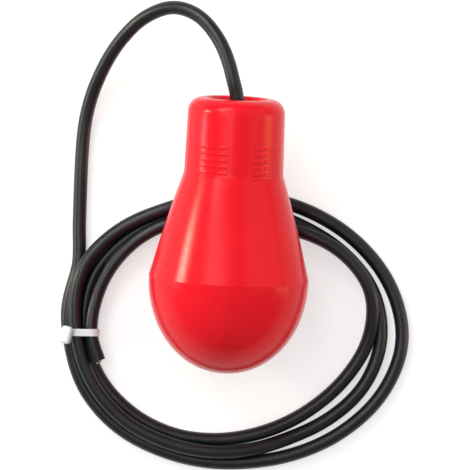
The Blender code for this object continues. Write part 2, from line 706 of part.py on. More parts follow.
def make_terminals(parent):
    top = CASE_BOTTOM + CASE_HEIGHT
    for name, x in terminal_places():
        shape = block((x - TERMINAL_WIDTH / 2, -TERMINAL_THICKNESS / 2, top - TERMINAL_ROOT),
                      (x + TERMINAL_WIDTH / 2, TERMINAL_THICKNESS / 2, top + TERMINAL_HEIGHT))
        mesh_object(name, shape, parent, "brass", smooth=False)


def make_switch_plunger(parent):
    """Pin that the lever presses into the case."""
    x = HINGE_X + PLUNGER_OFFSET
    near_edge = PLUNGER_OFFSET - PLUNGER_RADIUS
    lever_top = HINGE_Z - near_edge * math.tan(math.radians(LEVER_ANGLE)) + LEVER_THICKNESS / 2
    tip = lever_top + LEVER_PLUNGER_GAP
    shape = rod(PLUNGER_RADIUS, (0, 0, 0), (0, 0, PLUNGER_LENGTH), 12)
    plunger = mesh_object("switch_plunger", shape, parent, "white nylon")
    plunger.location = (x, 0, tip)
    return plunger


def make_switch_lever(parent):
    """Steel strip with a rolled eye on the hinge pin; the ball lifts its middle."""
    wide = LEVER_WIDTH / 2
    eye = rod(BARREL_RADIUS, (0, -wide, 0), (0, wide, 0), 16)
    lever = mesh_object("switch_lever", eye, parent, "steel")
    blade = block((BARREL_RADIUS / 2, -LEVER_STRIP_HALF, -LEVER_THICKNESS / 2),
                  (LEVER_LENGTH, LEVER_STRIP_HALF, LEVER_THICKNESS / 2))
    droop = math.radians(LEVER_ANGLE)
    for vert in blade.verts:
        x, z = vert.co.x, vert.co.z
        vert.co.x = x * math.cos(droop) + z * math.sin(droop)
        vert.co.z = z * math.cos(droop) - x * math.sin(droop)
    strip = cutter("lever_strip", blade, lever)
    bore = cutter("lever_bore", rod(PIN_RADIUS + PIN_PLAY, (0, -2 * wide, 0), (0, 2 * wide, 0), 12), lever)
    boolean(lever, strip, "UNION")
    boolean(lever, bore)
    lever.location = (HINGE_X, 0, HINGE_Z)
    return lever


def make_lever_pin(parent):
    half = LEVER_WIDTH / 2 + SEAT_GAP + EAR_THICKNESS
    shape = rod(PIN_RADIUS, (HINGE_X, -half, HINGE_Z), (HINGE_X, half, HINGE_Z), 12)
    return mesh_object("lever_pin", shape, parent, "steel")


def make_cores(parent):
    """Three cores from the cable's end to the terminals."""
    start = CAPSULE_TOP - 2 * SEAT_GAP
    end = CASE_BOTTOM + CASE_HEIGHT + TERMINAL_HEIGHT + SEAT_GAP
    colours = ("brown core", "blue core", "yellow core")
    names = ("core_common", "core_open", "core_closed")
    bearings = (180.0, 270.0, 0.0)
    for name, colour, bearing, (_, x) in zip(names, colours, bearings, terminal_places()):
        angle = math.radians(bearing)
        sx, sy = CORE_CIRCLE * math.cos(angle), CORE_CIRCLE * math.sin(angle)
        target = x * CORE_SPREAD
        first, second, third = (start + (end - start) * share for share in CORE_BENDS)
        route = ((sx, sy, start), (sx, sy, first), ((sx + target) / 2, sy / 2, second),
                 (target, 0, third), (target, 0, end))
        tube(name, smooth_points(route, 8), CORE_RADIUS, parent, colour, 2)


# Coil, tie and loose cable

def around(values, angle):
    """Smooth periodic curve through values given at equal angles."""
    count = len(values)
    place = (angle % (2 * math.pi)) / (2 * math.pi) * count
    k = int(place) % count
    t = place - int(place)
    a, b, c, d = (values[(k + i) % count] for i in (-1, 0, 1, 2))
    return 0.5 * (2 * b + (c - a) * t + (2 * a - 5 * b + 4 * c - d) * t * t
                  + (3 * b - a - 3 * c + d) * t ** 3)


COIL_LIFT = TIE_THICKNESS + 2 * SEAT_GAP
COIL_LOW_TOP = 2 * CABLE_RADIUS + SEAT_GAP
TIED_TOP = 4 * CABLE_RADIUS


def rest_height():
    """Top of the coil where the cone lies on it, at the coil's inner edge."""
    tilt = math.radians(NECK_RAISE)
    back, middle = float_place()
    reach = COIL_CENTRE[1] + COIL_INNER[COIL_UNDER_FLOAT] + COIL_CORNER - back
    along = reach
    for _ in range(20):
        along = (reach - cone_radius(along) * math.sin(tilt)) / math.cos(tilt)
    slope = tilt + math.atan((BELLY_RADIUS - NECK_FOOT_RADIUS) / CONE_LENGTH)
    underside = middle + along * math.sin(tilt) - cone_radius(along) * math.cos(tilt)
    return underside - SEAT_GAP / math.cos(slope)


def coil_section(angle):
    """Inner and outer edge, bottom and top of the coil at an angle."""
    degrees = math.degrees(angle)
    outer = around(COIL_OUTER, angle)
    inner = around(COIL_INNER, angle)
    tops = list(COIL_TOP)
    tops[COIL_UNDER_FLOAT] = rest_height()
    top = around(tops, angle)
    away = abs(degrees - TIE_ANGLE)
    lift = COIL_LIFT * max(0.0, 1.0 - max(0.0, away - TIED_HALF_ANGLE) / LIFT_FADE_ANGLE)
    if TIE_ANGLE + TIED_HALF_ANGLE < degrees < LOW_END_ANGLE:
        top = COIL_LOW_TOP
    if away < TIED_HALF_ANGLE + STEP_ANGLE / 2:
        top = TIED_TOP
    return inner, outer, lift, top


def coil_stations():
    step = 360.0 / COIL_STEPS
    regular = [k * step for k in range(COIL_STEPS)
               if abs(k * step - TIE_ANGLE) > TIED_HALF_ANGLE + step / 4]
    edge = TIE_ANGLE + TIED_HALF_ANGLE
    return sorted(regular + [TIE_ANGLE - TIED_HALF_ANGLE, edge, edge + STEP_ANGLE])


def coil_point(angle, radius, height):
    return Vector((COIL_CENTRE[0] + radius * math.cos(angle),
                   COIL_CENTRE[1] + radius * math.sin(angle), height))


def make_cable_coil():
    """Outer shape of the wound cable: one closed ring of changing section."""
    shape = bmesh.new()
    rings = []
    for degrees in coil_stations():
        angle = math.radians(degrees)
        inner, outer, low, high = coil_section(angle)
        corner = min(COIL_CORNER, (high - low) / 3)
        outline = ((inner + corner, low), (outer - corner, low), (outer, low + corner),
                   (outer, high - corner), (outer - corner, high), (inner + corner, high),
                   (inner, high - corner), (inner, low + corner))
        rings.append([shape.verts.new(coil_point(angle, r, h)) for r, h in outline])
    for k, ring in enumerate(rings):
        after = rings[(k + 1) % len(rings)]
        for i in range(len(ring)):
            j = (i + 1) % len(ring)
            shape.faces.new((ring[i], ring[j], after[j], after[i]))
    return mesh_object("cable_coil", shape, None, "black rubber")


def make_tie():
    """Strap round the coil with its ratchet head on top, at the outer side."""
    angle = math.radians(TIE_ANGLE)
    across = Vector((-math.sin(angle), math.cos(angle), 0))
    inner, outer, low, high = coil_section(angle)
    gap = SEAT_GAP
    inner_edge, outer_edge = inner - gap, outer + gap
    low_edge, high_edge = low - gap, high + gap
    shape = bmesh.new()
    loops = []
    for grow, side in ((0, -1), (TIE_THICKNESS, -1), (TIE_THICKNESS, 1), (0, 1)):
        cut = COIL_CORNER
        a, b = inner_edge - grow, outer_edge + grow
        c, d = low_edge - min(grow, low_edge - gap / 3), high_edge + grow
        outline = ((a + cut, c), (b - cut, c), (b, c + cut), (b, d - cut),
                   (b - cut, d), (a + cut, d), (a, d - cut), (a, c + cut))
        loops.append([shape.verts.new(coil_point(angle, r, h) + across * side * TIE_WIDTH / 2)
                      for r, h in outline])
    for k, loop in enumerate(loops):
        after = loops[(k + 1) % 4]
        for i in range(8):
            j = (i + 1) % 8
            shape.faces.new((loop[i], loop[j], after[j], after[i]))
    mesh_object("tie_strap", shape, None, "white nylon")
    head_low = high_edge + TIE_THICKNESS + gap
    head = block((outer_edge - TIE_HEAD_LENGTH, -TIE_HEAD_WIDTH / 2, head_low),
                 (outer_edge, TIE_HEAD_WIDTH / 2, head_low + TIE_HEAD_THICKNESS))
    bmesh.ops.bevel(head, geom=list(head.edges), offset=TIE_THICKNESS / 2, segments=2, affect="EDGES")
    for vert in head.verts:
        vert.co = coil_point(angle, vert.co.x, vert.co.z) + across * vert.co.y
    mesh_object("tie_head", head, None, "white nylon")


def make_lead(frame_point):
    """Loose cable from the neck's dish round to the coil."""
    start = frame_point(CABLE_END + SEAT_GAP)
    leave = frame_point(CABLE_END + CABLE_STRAIGHT)
    route = [tuple(leave)] + list(LEAD_ROUTE)
    points = [tuple(start)] + list(smooth_points(route, LEAD_POINTS))
    tube("cable_lead", points, CABLE_RADIUS, None, "black rubber")


def make_tail():
    """Last stretch of the cable after the tie, with its three cores showing."""
    points = smooth_points(TAIL_ROUTE, TAIL_POINTS)
    tube("cable_tail", points, CABLE_RADIUS, None, "black rubber")
    end = Vector(points[-1])
    along = (end - Vector(points[-2])).normalized()
    side = along.cross(Vector((0, 0, 1))).normalized()
    over = side.cross(along)
    names = ("end_core_brown", "end_core_blue", "end_core_yellow")
    colours = ("brown core", "blue core", "yellow core")
    for k, (name, colour) in enumerate(zip(names, colours)):
        angle = math.radians(90 + 120 * k)
        offset = (side * math.cos(angle) + over * math.sin(angle)) * END_CORE_CIRCLE
        start = end + along * SEAT_GAP + offset
        shape = rod(CORE_RADIUS, start, start + along * END_CORE_STAND_OUT, 12)
        mesh_object(name, shape, None, colour)


def float_place():
    """World Y and height of the belly's middle, for belly on floor, box centred."""
    tilt = math.radians(NECK_RAISE)
    ridge = NECK_END_RADIUS - LIP_ROUND
    profile = (dome_points(BELLY_RADIUS, DOME_DEPTH, DOME_STEPS)
               + arc(ridge, CASING_END - LIP_ROUND, LIP_ROUND, 0, 90, LIP_STEPS))
    lowest = min(h * math.sin(tilt) - r * math.cos(tilt) for r, h in profile)
    back = min(h * math.cos(tilt) - r * math.sin(tilt) for r, h in profile)
    front = max(h * math.cos(tilt) + r * math.sin(tilt) for r, h in profile)
    return -(front + back) / 2, -lowest


def lie_down():
    """Place the float's frame on the floor with its neck raised."""
    tilt = math.radians(NECK_RAISE)
    empty = bpy.data.objects.new("float_frame", None)
    bpy.context.scene.collection.objects.link(empty)
    empty.location = (0, *float_place())
    empty.rotation_euler = (-(math.pi / 2 - tilt), 0, 0)

    def frame_point(height):
        return Vector(empty.location) + height * Vector((0, math.cos(tilt), math.sin(tilt)))

    return empty, frame_point


def build():
    clear_scene()
    frame, frame_point = lie_down()
    make_casing_upper(frame)
    make_casing_lower(frame)
    make_cable_seal(frame)
    make_cable_inner(frame)
    make_clamp(frame)
    make_capsule_body(frame)
    make_capsule_cap(frame)
    make_capsule_oring(frame)
    make_ball_guide(frame)
    make_steel_ball(frame)
    make_switch_carrier(frame)
    for name, (x, z) in zip(("carrier_screw_near", "carrier_screw_far"), screw_places()):
        make_screw(name, (x, -CASE_THICKNESS / 2 - SEAT_GAP, z),
                   CASE_THICKNESS + 2 * SEAT_GAP + PLATE_THICKNESS, frame)
    make_switch_case(frame)
    make_terminals(frame)
    make_switch_plunger(frame)
    make_switch_lever(frame)
    make_lever_pin(frame)
    make_cores(frame)
    make_lead(frame_point)
    make_cable_coil()
    make_tail()
    make_tie()


build()
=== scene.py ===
import math

import bmesh
import bpy
from mathutils import Matrix, Vector


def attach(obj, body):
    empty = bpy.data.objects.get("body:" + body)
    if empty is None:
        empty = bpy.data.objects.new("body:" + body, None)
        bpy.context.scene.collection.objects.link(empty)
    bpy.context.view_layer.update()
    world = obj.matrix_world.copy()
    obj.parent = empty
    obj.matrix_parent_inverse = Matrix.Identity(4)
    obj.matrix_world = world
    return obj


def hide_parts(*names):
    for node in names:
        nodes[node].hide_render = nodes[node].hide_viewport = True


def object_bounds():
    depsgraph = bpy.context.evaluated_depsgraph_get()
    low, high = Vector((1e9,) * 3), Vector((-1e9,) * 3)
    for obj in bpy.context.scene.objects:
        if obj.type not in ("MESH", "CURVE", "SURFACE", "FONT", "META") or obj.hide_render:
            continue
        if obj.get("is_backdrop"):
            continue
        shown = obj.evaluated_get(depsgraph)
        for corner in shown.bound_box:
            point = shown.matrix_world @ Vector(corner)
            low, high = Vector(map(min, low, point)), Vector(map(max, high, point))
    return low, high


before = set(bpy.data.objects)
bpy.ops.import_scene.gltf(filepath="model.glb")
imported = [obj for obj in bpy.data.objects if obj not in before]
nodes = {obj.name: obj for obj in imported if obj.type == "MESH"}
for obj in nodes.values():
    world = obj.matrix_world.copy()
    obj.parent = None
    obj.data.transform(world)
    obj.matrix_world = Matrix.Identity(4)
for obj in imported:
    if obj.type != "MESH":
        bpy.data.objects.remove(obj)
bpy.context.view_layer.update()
scene = bpy.context.scene

# Camera
# The float lies on a table and is seen from straight above, from about three
# metres with a long lens, turned so that the float leans to the right.
camera_data = bpy.data.cameras.new("camera")
camera_data.sensor_width = 36.0
camera_data.lens = 360.0
camera = bpy.data.objects.new("camera", camera_data)
camera.location = (0.00265, -0.0003, 2.986)
camera.rotation_euler = (0.0, 0.0, math.radians(2.7))
scene.collection.objects.link(camera)
scene.camera = camera
scene.view_settings.view_transform = "Standard"


# Table and light
# A white table in a studio. Two soft lamps stand high at the left and two low
# ones below them, with a wide one and a low warm one at the right.
def shader_node(tree, kind, **inputs):
    made = tree.nodes.new(kind)
    for name, value in inputs.items():
        made.inputs[name.replace("_", " ")].default_value = value
    return made


def seen_directly(tree):
    """1 for rays from the camera, mirrors and glass, 0 for light."""
    path = tree.nodes.new("ShaderNodeLightPath")
    either = path.outputs["Is Camera Ray"]
    for name in ("Is Glossy Ray", "Is Transmission Ray"):
        larger = tree.nodes.new("ShaderNodeMath")
        larger.operation = "MAXIMUM"
        tree.links.new(either, larger.inputs[0])
        tree.links.new(path.outputs[name], larger.inputs[1])
        either = larger.outputs[0]
    return either


TABLE_SIZE = 12.0
TABLE_DROP = 0.0002
TABLE_GLOW = 0.60
TABLE_WHITE = (0.55, 0.55, 0.55, 1.0)
PURE_WHITE = (1.0, 1.0, 1.0, 1.0)
bpy.ops.object.select_all(action="DESELECT")
bpy.ops.mesh.primitive_plane_add(size=TABLE_SIZE, location=(0, 0, -TABLE_DROP))
table = bpy.context.object
table.name = "table_top"
table_paint = bpy.data.materials.new("white table")
table_paint.use_nodes = True
tree = table_paint.node_tree
tree.nodes.clear()
output = tree.nodes.new("ShaderNodeOutputMaterial")
matt = shader_node(tree, "ShaderNodeBsdfDiffuse", Color=TABLE_WHITE)
glow = shader_node(tree, "ShaderNodeEmission", Color=PURE_WHITE)
strength = shader_node(tree, "ShaderNodeMath")
strength.operation = "MULTIPLY"
strength.inputs[1].default_value = TABLE_GLOW
tree.links.new(seen_directly(tree), strength.inputs[0])
tree.links.new(strength.outputs[0], glow.inputs["Strength"])
both = tree.nodes.new("ShaderNodeAddShader")
tree.links.new(matt.outputs[0], both.inputs[0])
tree.links.new(glow.outputs[0], both.inputs[1])
tree.links.new(both.outputs[0], output.inputs["Surface"])
table.data.materials.append(table_paint)
table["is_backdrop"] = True

CEILING = 0.33
HORIZON = 0.28
CEILING_FROM = 0.75
world = bpy.data.worlds.new("studio")
world.use_nodes = True
scene.world = world
tree = world.node_tree
tree.nodes.clear()
output = tree.nodes.new("ShaderNodeOutputWorld")
place = tree.nodes.new("ShaderNodeTexCoord")
apart = tree.nodes.new("ShaderNodeSeparateXYZ")
level = tree.nodes.new("ShaderNodeMapRange")
level.inputs["From Min"].default_value = 0.0
level.inputs["From Max"].default_value = CEILING_FROM
level.inputs["To Min"].default_value = HORIZON
level.inputs["To Max"].default_value = CEILING
sky = shader_node(tree, "ShaderNodeBackground", Color=PURE_WHITE)
backdrop = shader_node(tree, "ShaderNodeBackground", Color=PURE_WHITE, Strength=1.0)
path = tree.nodes.new("ShaderNodeLightPath")
mix = tree.nodes.new("ShaderNodeMixShader")
tree.links.new(place.outputs["Generated"], apart.inputs[0])
tree.links.new(apart.outputs["Z"], level.inputs["Value"])
tree.links.new(level.outputs["Result"], sky.inputs["Strength"])
tree.links.new(path.outputs["Is Camera Ray"], mix.inputs["Fac"])
tree.links.new(sky.outputs[0], mix.inputs[1])
tree.links.new(backdrop.outputs[0], mix.inputs[2])
tree.links.new(mix.outputs[0], output.inputs["Surface"])


def area_lamp(name, bearing, rise, distance, size, power, colour):
    """A soft lamp at a bearing from +X and a rise over the table, facing the float."""
    around, up = math.radians(bearing), math.radians(rise)
    toward = Vector((math.cos(around) * math.cos(up), math.sin(around) * math.cos(up), math.sin(up)))
    data = bpy.data.lights.new(name, "AREA")
    data.shape = "RECTANGLE"
    data.size, data.size_y = size
    data.energy = power
    data.color = colour
    lamp = bpy.data.objects.new(name, data)
    lamp.location = toward * distance
    lamp.rotation_euler = toward.to_track_quat("Z", "Y").to_euler()
    scene.collection.objects.link(lamp)


area_lamp("key_lamp", 122.0, 44.0, 1.6, (0.9, 0.45), 11.0, (1.0, 0.98, 0.95))
area_lamp("overhead_lamp", 160.0, 70.0, 2.2, (1.0, 1.3), 12.0, (1.0, 1.0, 1.0))
area_lamp("left_lamp", 164.5, 18.0, 1.5, (0.16, 0.26), 9.0, (1.0, 0.88, 0.66))
area_lamp("window_lamp", 184.0, 12.0, 1.5, (0.20, 0.30), 3.0, (0.85, 0.92, 1.0))
area_lamp("fill_lamp", 20.0, 35.0, 2.0, (2.0, 2.0), 9.0, (1.0, 0.97, 0.96))
area_lamp("right_lamp", -2.0, 9.0, 1.5, (0.50, 0.50), 4.5, (1.0, 0.55, 0.20))


# Cable
# Two metres of three-core cable in a black rubber sheath, 8.7 mm thick. It
# leaves the neck, falls beside the float and is wound into three oval turns,
# which lie on the table or on each other, and side by side under the cone.
CABLE_RADIUS = 0.00435
NECK_RAISE = math.radians(5.8)
BELLY_MIDDLE = Vector((0.0, -0.026958, 0.050169))
ALONG_FLOAT = Vector((0.0, math.cos(NECK_RAISE), math.sin(NECK_RAISE)))
CABLE_EXIT = 0.1071
CABLE_STRAIGHT = CABLE_RADIUS
LEAD_ROUTE = (
    (-0.0009, 0.0890, 0.0619), (-0.0030, 0.0958, 0.0625), (-0.0066, 0.1076, 0.0610),
    (-0.0136, 0.1218, 0.0570), (-0.0265, 0.1357, 0.0510), (-0.0439, 0.1406, 0.0430),
    (-0.0613, 0.1331, 0.0340), (-0.0725, 0.1219, 0.0270), (-0.0802, 0.1111, 0.0215),
    (-0.0869, 0.0979, 0.0150), (-0.0924, 0.0828, 0.0095), (-0.0957, 0.0662, 0.0060),
    (-0.0967, 0.0480, 0.0046), (-0.0967, 0.0300, 0.0046), (-0.0965, 0.0130, 0.0045),
    (-0.0962, -0.0010, 0.0044), (-0.0955, -0.0130, 0.0044),
)
COIL_CENTRE = Vector((0.0064, -0.0630, 0.0))
COIL_START = 160.0
COIL_STEP = 20.0
TURNS = (
    (0.1087, 0.1070, 0.1035, 0.0962, 0.0879, 0.0832, 0.0818, 0.0851, 0.0917,
     0.1003, 0.1061, 0.1028, 0.0965, 0.0911, 0.0884, 0.0887, 0.0903, 0.0992),
    (0.1067, 0.1019, 0.0972, 0.0898, 0.0817, 0.0765, 0.0739, 0.0741, 0.0797,
     0.0876, 0.0923, 0.0914, 0.0855, 0.0805, 0.0795, 0.0798, 0.0855, 0.0921),
    (0.0984, 0.0969, 0.0917, 0.0834, 0.0755, 0.0689, 0.0651, 0.0647, 0.0677,
     0.0746, 0.0841, 0.0899, 0.0851, 0.0772, 0.0706, 0.0709, 0.0810, 0.0874),
    (0.0914, 0.0926, 0.0886),
)
CROSSING_STEP = 7
TAIL_END = 1273.5
TIE_BEARING = 182.0
TIE_LIFT = 0.0013
TIE_LIFT_FADE = 16.0
POINTS_PER_STEP = 10
SHEATH_EASING = 14
FIRST_BEND = (170.0, 0.1083)


def through(points, per_step):
    """Points of a smooth curve through the given ones."""
    ends = [2 * points[0] - points[1]] + points + [2 * points[-1] - points[-2]]
    fine = []
    for a, b, c, d in zip(ends, ends[1:], ends[2:], ends[3:]):
        for k in range(per_step):
            t = k / per_step
            fine.append(0.5 * (2 * b + (c - a) * t + (2 * a - 5 * b + 4 * c - d) * t * t
                               + (3 * b - a - 3 * c + d) * t ** 3))
    return fine + [points[-1]]


def lowest_here(bearing):
    """Height of a strand's middle on the table, over the tie's strap near the tie."""
    away = abs((bearing - TIE_BEARING + 180.0) % 360.0 - 180.0)
    return CABLE_RADIUS + TIE_LIFT * max(0.0, 1.0 - away / TIE_LIFT_FADE)


def coil_point(bearing, radius, height):
    turned = math.radians(bearing)
    return COIL_CENTRE + Vector((radius * math.cos(turned), radius * math.sin(turned), height))


def strand_height(turn, step, radius, bearing):
    """On the table, or on other turns: odd ones are on top before the crossing, even ones after."""
    height = lowest_here(bearing)
    on_top = 1 if step < CROSSING_STEP else 0
    if turn % 2 != on_top:
        return height
    for under, radii in enumerate(TURNS):
        if under % 2 == on_top or step >= len(radii):
            continue
        apart = abs(radius - radii[step])
        if apart < 2 * CABLE_RADIUS:
            height = max(height, lowest_here(bearing) + math.sqrt(4 * CABLE_RADIUS ** 2 - apart ** 2))
    return height


neck_exit = BELLY_MIDDLE + ALONG_FLOAT * CABLE_EXIT
route = [neck_exit, neck_exit + ALONG_FLOAT * CABLE_STRAIGHT] + [Vector(p) for p in LEAD_ROUTE]
for turn, radii in enumerate(TURNS):
    for step, radius in enumerate(radii):
        bearing = min(COIL_START + COIL_STEP * (step + turn * len(TURNS[0])), TAIL_END)
        route.append(coil_point(bearing, radius, strand_height(turn, step, radius, bearing)))
        if turn == 0 and step == 0:
            route.append(coil_point(*FIRST_BEND, lowest_here(FIRST_BEND[0])))
cable_line = through(route, POINTS_PER_STEP)
for _ in range(SHEATH_EASING):
    eased = [(a + 2 * b + c) / 4 for a, b, c in zip(cable_line, cable_line[1:], cable_line[2:])]
    cable_line = cable_line[:3] + eased[2:-1] + cable_line[-2:]
for point in cable_line:
    around_coil = math.degrees(math.atan2(point.y - COIL_CENTRE.y, point.x - COIL_CENTRE.x))
    point.z = max(point.z, lowest_here(around_coil))

cable_curve = bpy.data.curves.new("cable", "CURVE")
cable_curve.dimensions = "3D"
cable_curve.bevel_depth = CABLE_RADIUS
cable_curve.bevel_resolution = 8
cable_curve.use_fill_caps = True
spline = cable_curve.splines.new("POLY")
spline.points.add(len(cable_line) - 1)
for slot, point in zip(spline.points, cable_line):
    slot.co = (*point, 1.0)
spline.use_smooth = True
cable = bpy.data.objects.new("cable", cable_curve)
scene.collection.objects.link(cable)


def grainy_finish(name, dark, light, roughness, patch, grain, relief, metallic=0.0, specular=0.5):
    """Two shades in soft patches, and a fine grain that varies the gloss and bumps the surface."""
    made = bpy.data.materials.new(name)
    made.use_nodes = True
    tree = made.node_tree
    shader = tree.nodes["Principled BSDF"]
    shader.inputs["Metallic"].default_value = metallic
    shader.inputs["Specular IOR Level"].default_value = specular
    place = tree.nodes.new("ShaderNodeTexCoord")
    patches = shader_node(tree, "ShaderNodeTexNoise", Scale=patch, Detail=4.0)
    tree.links.new(place.outputs["Object"], patches.inputs["Vector"])
    shades = tree.nodes.new("ShaderNodeValToRGB")
    shades.color_ramp.elements[0].position = 0.35
    shades.color_ramp.elements[0].color = (*dark, 1.0)
    shades.color_ramp.elements[1].position = 0.65
    shades.color_ramp.elements[1].color = (*light, 1.0)
    tree.links.new(patches.outputs["Fac"], shades.inputs["Fac"])
    tree.links.new(shades.outputs["Color"], shader.inputs["Base Color"])
    fine = shader_node(tree, "ShaderNodeTexNoise", Scale=grain, Detail=3.0)
    tree.links.new(place.outputs["Object"], fine.inputs["Vector"])
    gloss = tree.nodes.new("ShaderNodeMapRange")
    gloss.inputs["From Min"].default_value = 0.3
    gloss.inputs["From Max"].default_value = 0.7
    gloss.inputs["To Min"].default_value = roughness[0]
    gloss.inputs["To Max"].default_value = roughness[1]
    tree.links.new(fine.outputs["Fac"], gloss.inputs["Value"])
    tree.links.new(gloss.outputs["Result"], shader.inputs["Roughness"])
    bump = shader_node(tree, "ShaderNodeBump", Strength=1.0, Distance=relief)
    tree.links.new(fine.outputs["Fac"], bump.inputs["Height"])
    tree.links.new(bump.outputs["Normal"], shader.inputs["Normal"])
    return made


def add_lengthwise_lines(finish, lines, along, depth):
    """Shallow lines drawn along the sheath by the extruder's die."""
    tree = finish.node_tree
    shader = tree.nodes["Principled BSDF"]
    grain_bump = shader.inputs["Normal"].links[0].from_node
    place = tree.nodes.new("ShaderNodeTexCoord")
    stretch = tree.nodes.new("ShaderNodeMapping")
    stretch.inputs["Scale"].default_value = (lines, along, 1.0)
    streaks = shader_node(tree, "ShaderNodeTexNoise", Scale=1.0, Detail=2.0)
    bump = shader_node(tree, "ShaderNodeBump", Strength=1.0, Distance=depth)
    tree.links.new(place.outputs["UV"], stretch.inputs["Vector"])
    tree.links.new(stretch.outputs["Vector"], streaks.inputs["Vector"])
    tree.links.new(streaks.outputs["Fac"], bump.inputs["Height"])
    tree.links.new(grain_bump.outputs["Normal"], bump.inputs["Normal"])
    tree.links.new(bump.outputs["Normal"], shader.inputs["Normal"])


sheath = grainy_finish("black rubber sheath", (0.0045, 0.0055, 0.0080), (0.0090, 0.0105, 0.0150),
                       (0.29, 0.40), 60.0, 1400.0, 0.00002, specular=0.45)
add_lengthwise_lines(sheath, 24.0, 60.0, 0.00006)
cable.data.materials.append(sheath)
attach(cable, "float")
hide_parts("cable_lead", "cable_coil", "cable_tail")


# Upper casing
# Neck and cone in one red polypropylene moulding, 2.7 mm thick, with ladders
# of low ribs for the fingers and a dished end. It is welded to the dome.
BELLY_RADIUS = 0.0500
CONE_LENGTH = 0.0653
CONE_BULGE = 0.0006
NECK_FOOT_RADIUS = 0.0310
NECK_END_RADIUS = 0.0303
NECK_END = 0.1124
CASING_WALL = 0.0027
LIP_ROUND = 0.0090
LIP_FLAT = 0.0008
LIP_INNER_ROUND = 0.0030
DISH_EDGE = NECK_END_RADIUS - LIP_ROUND - LIP_FLAT - LIP_INNER_ROUND
DISH_FLOOR = 0.1052
DISH_SLOPE = 0.0040
SEAL_POCKET = 0.0101
SEAL_POCKET_FLOOR = 0.0957
CABLE_BORE = 0.00465
WELD_GAP = 0.00002
SPIGOT_HEIGHT = 0.0048
SPIGOT_COVER = 0.0035
SEAT_GAP = 0.0003
LEDGE_LOW = 0.0502
LEDGE_HIGH = 0.0528
LEDGE_WIDTH = 0.0026
LEDGE_SET_IN = 0.0006
CASING_STEPS = 360
SAME_POINT = 0.000001
CONE_STEPS = 14
NECK_RINGS = (0.0890, 0.0940, 0.0990)
HALF_STEP = math.radians(180.0 / CASING_STEPS)
RIB_ROWS = 5
RIB_START = 0.0665
RIB_PITCH = 0.00396
RIB_WIDTH = 0.0019
RIB_HEIGHT = 0.0005
RIB_EDGE = 0.00022
LADDERS = ((22.5, 33.5), (37.5, 63.5), (-18.5, -7.5), (-48.5, -22.5))
FOOT_BARS = ((22.5, 63.5), (-48.5, -7.5))
FOOT_BAR_LOW = 0.0640
FOOT_BAR_WIDTH = 0.0010
FOOT_STEP_OUT = 0.00008
FOOT_STEP_UP = 0.0004
FLOAT_FRAME = Matrix.Translation(BELLY_MIDDLE) @ Matrix.Rotation(NECK_RAISE - math.pi / 2, 4, "X")


def cone_radius(height):
    share = height / CONE_LENGTH
    straight = BELLY_RADIUS + (NECK_FOOT_RADIUS - BELLY_RADIUS) * share
    return straight + CONE_BULGE * 4 * share * (1 - share)


def neck_radius(height):
    share = (height - CONE_LENGTH) / (NECK_END - LIP_ROUND - CONE_LENGTH)
    return NECK_FOOT_RADIUS + (NECK_END_RADIUS - NECK_FOOT_RADIUS) * share


def quarter(radius, height, bend, start, end, steps):
    """Points of an arc about (radius, height), angles in degrees."""
    angles = [math.radians(start + (end - start) * k / steps) for k in range(steps + 1)]
    return [(radius + bend * math.cos(a), height + bend * math.sin(a)) for a in angles]


def draw_outline(name, points):
    """Start a piece in edit mode as a closed outline, drawn from point to point."""
    bpy.ops.object.select_all(action="DESELECT")
    bpy.ops.mesh.primitive_plane_add(size=CASING_WALL, location=(0, 0, 0))
    item = bpy.context.object
    item.name = item.data.name = name
    bpy.ops.object.mode_set(mode="EDIT")
    bpy.ops.mesh.select_mode(type="VERT")
    bpy.ops.mesh.merge(type="CENTER")
    bpy.ops.transform.translate(value=points[0])
    for before, after in zip(points, points[1:] + points[:1]):
        bpy.ops.mesh.extrude_region_move(TRANSFORM_OT_translate={"value": after - before})
    bpy.ops.mesh.select_all(action="SELECT")
    bpy.ops.mesh.remove_doubles(threshold=SAME_POINT)
    return item


def turn_profile(name, profile, steps):
    """Spin a closed outline of (radius, height) about Z."""
    item = draw_outline(name, [Vector((radius, 0.0, height)) for radius, height in profile])
    bpy.ops.mesh.spin(steps=steps, angle=2 * math.pi, center=(0, 0, 0), axis=(0, 0, 1))
    bpy.ops.mesh.select_all(action="SELECT")
    bpy.ops.mesh.remove_doubles(threshold=SAME_POINT)
    bpy.ops.mesh.dissolve_degenerate(threshold=SAME_POINT)
    bpy.ops.mesh.delete_loose()
    bpy.ops.mesh.select_all(action="SELECT")
    bpy.ops.mesh.normals_make_consistent(inside=False)
    bpy.ops.mesh.select_all(action="DESELECT")
    bpy.ops.object.mode_set(mode="OBJECT")
    return item


def select_faces(item, wanted):
    """In edit mode, select only the faces whose middle passes the test."""
    bpy.ops.mesh.select_mode(type="FACE")
    bpy.ops.mesh.select_all(action="DESELECT")
    shape = bmesh.from_edit_mesh(item.data)
    for face in shape.faces:
        if wanted(face.calc_center_median()):
            face.select_set(True)
    shape.select_flush_mode()
    bmesh.update_edit_mesh(item.data)


def set_down(item, place, body, finish, sharp_angle=35.0):
    """Smooth the piece, put its place in its mesh and let it ride on its body."""
    bpy.ops.object.select_all(action="DESELECT")
    item.select_set(True)
    bpy.context.view_layer.objects.active = item
    bpy.ops.object.shade_smooth_by_angle(angle=math.radians(sharp_angle))
    item.matrix_world = place @ item.matrix_world
    bpy.ops.object.transform_apply(location=True, rotation=True, scale=True)
    item.data.materials.clear()
    item.data.materials.append(finish)
    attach(item, body)


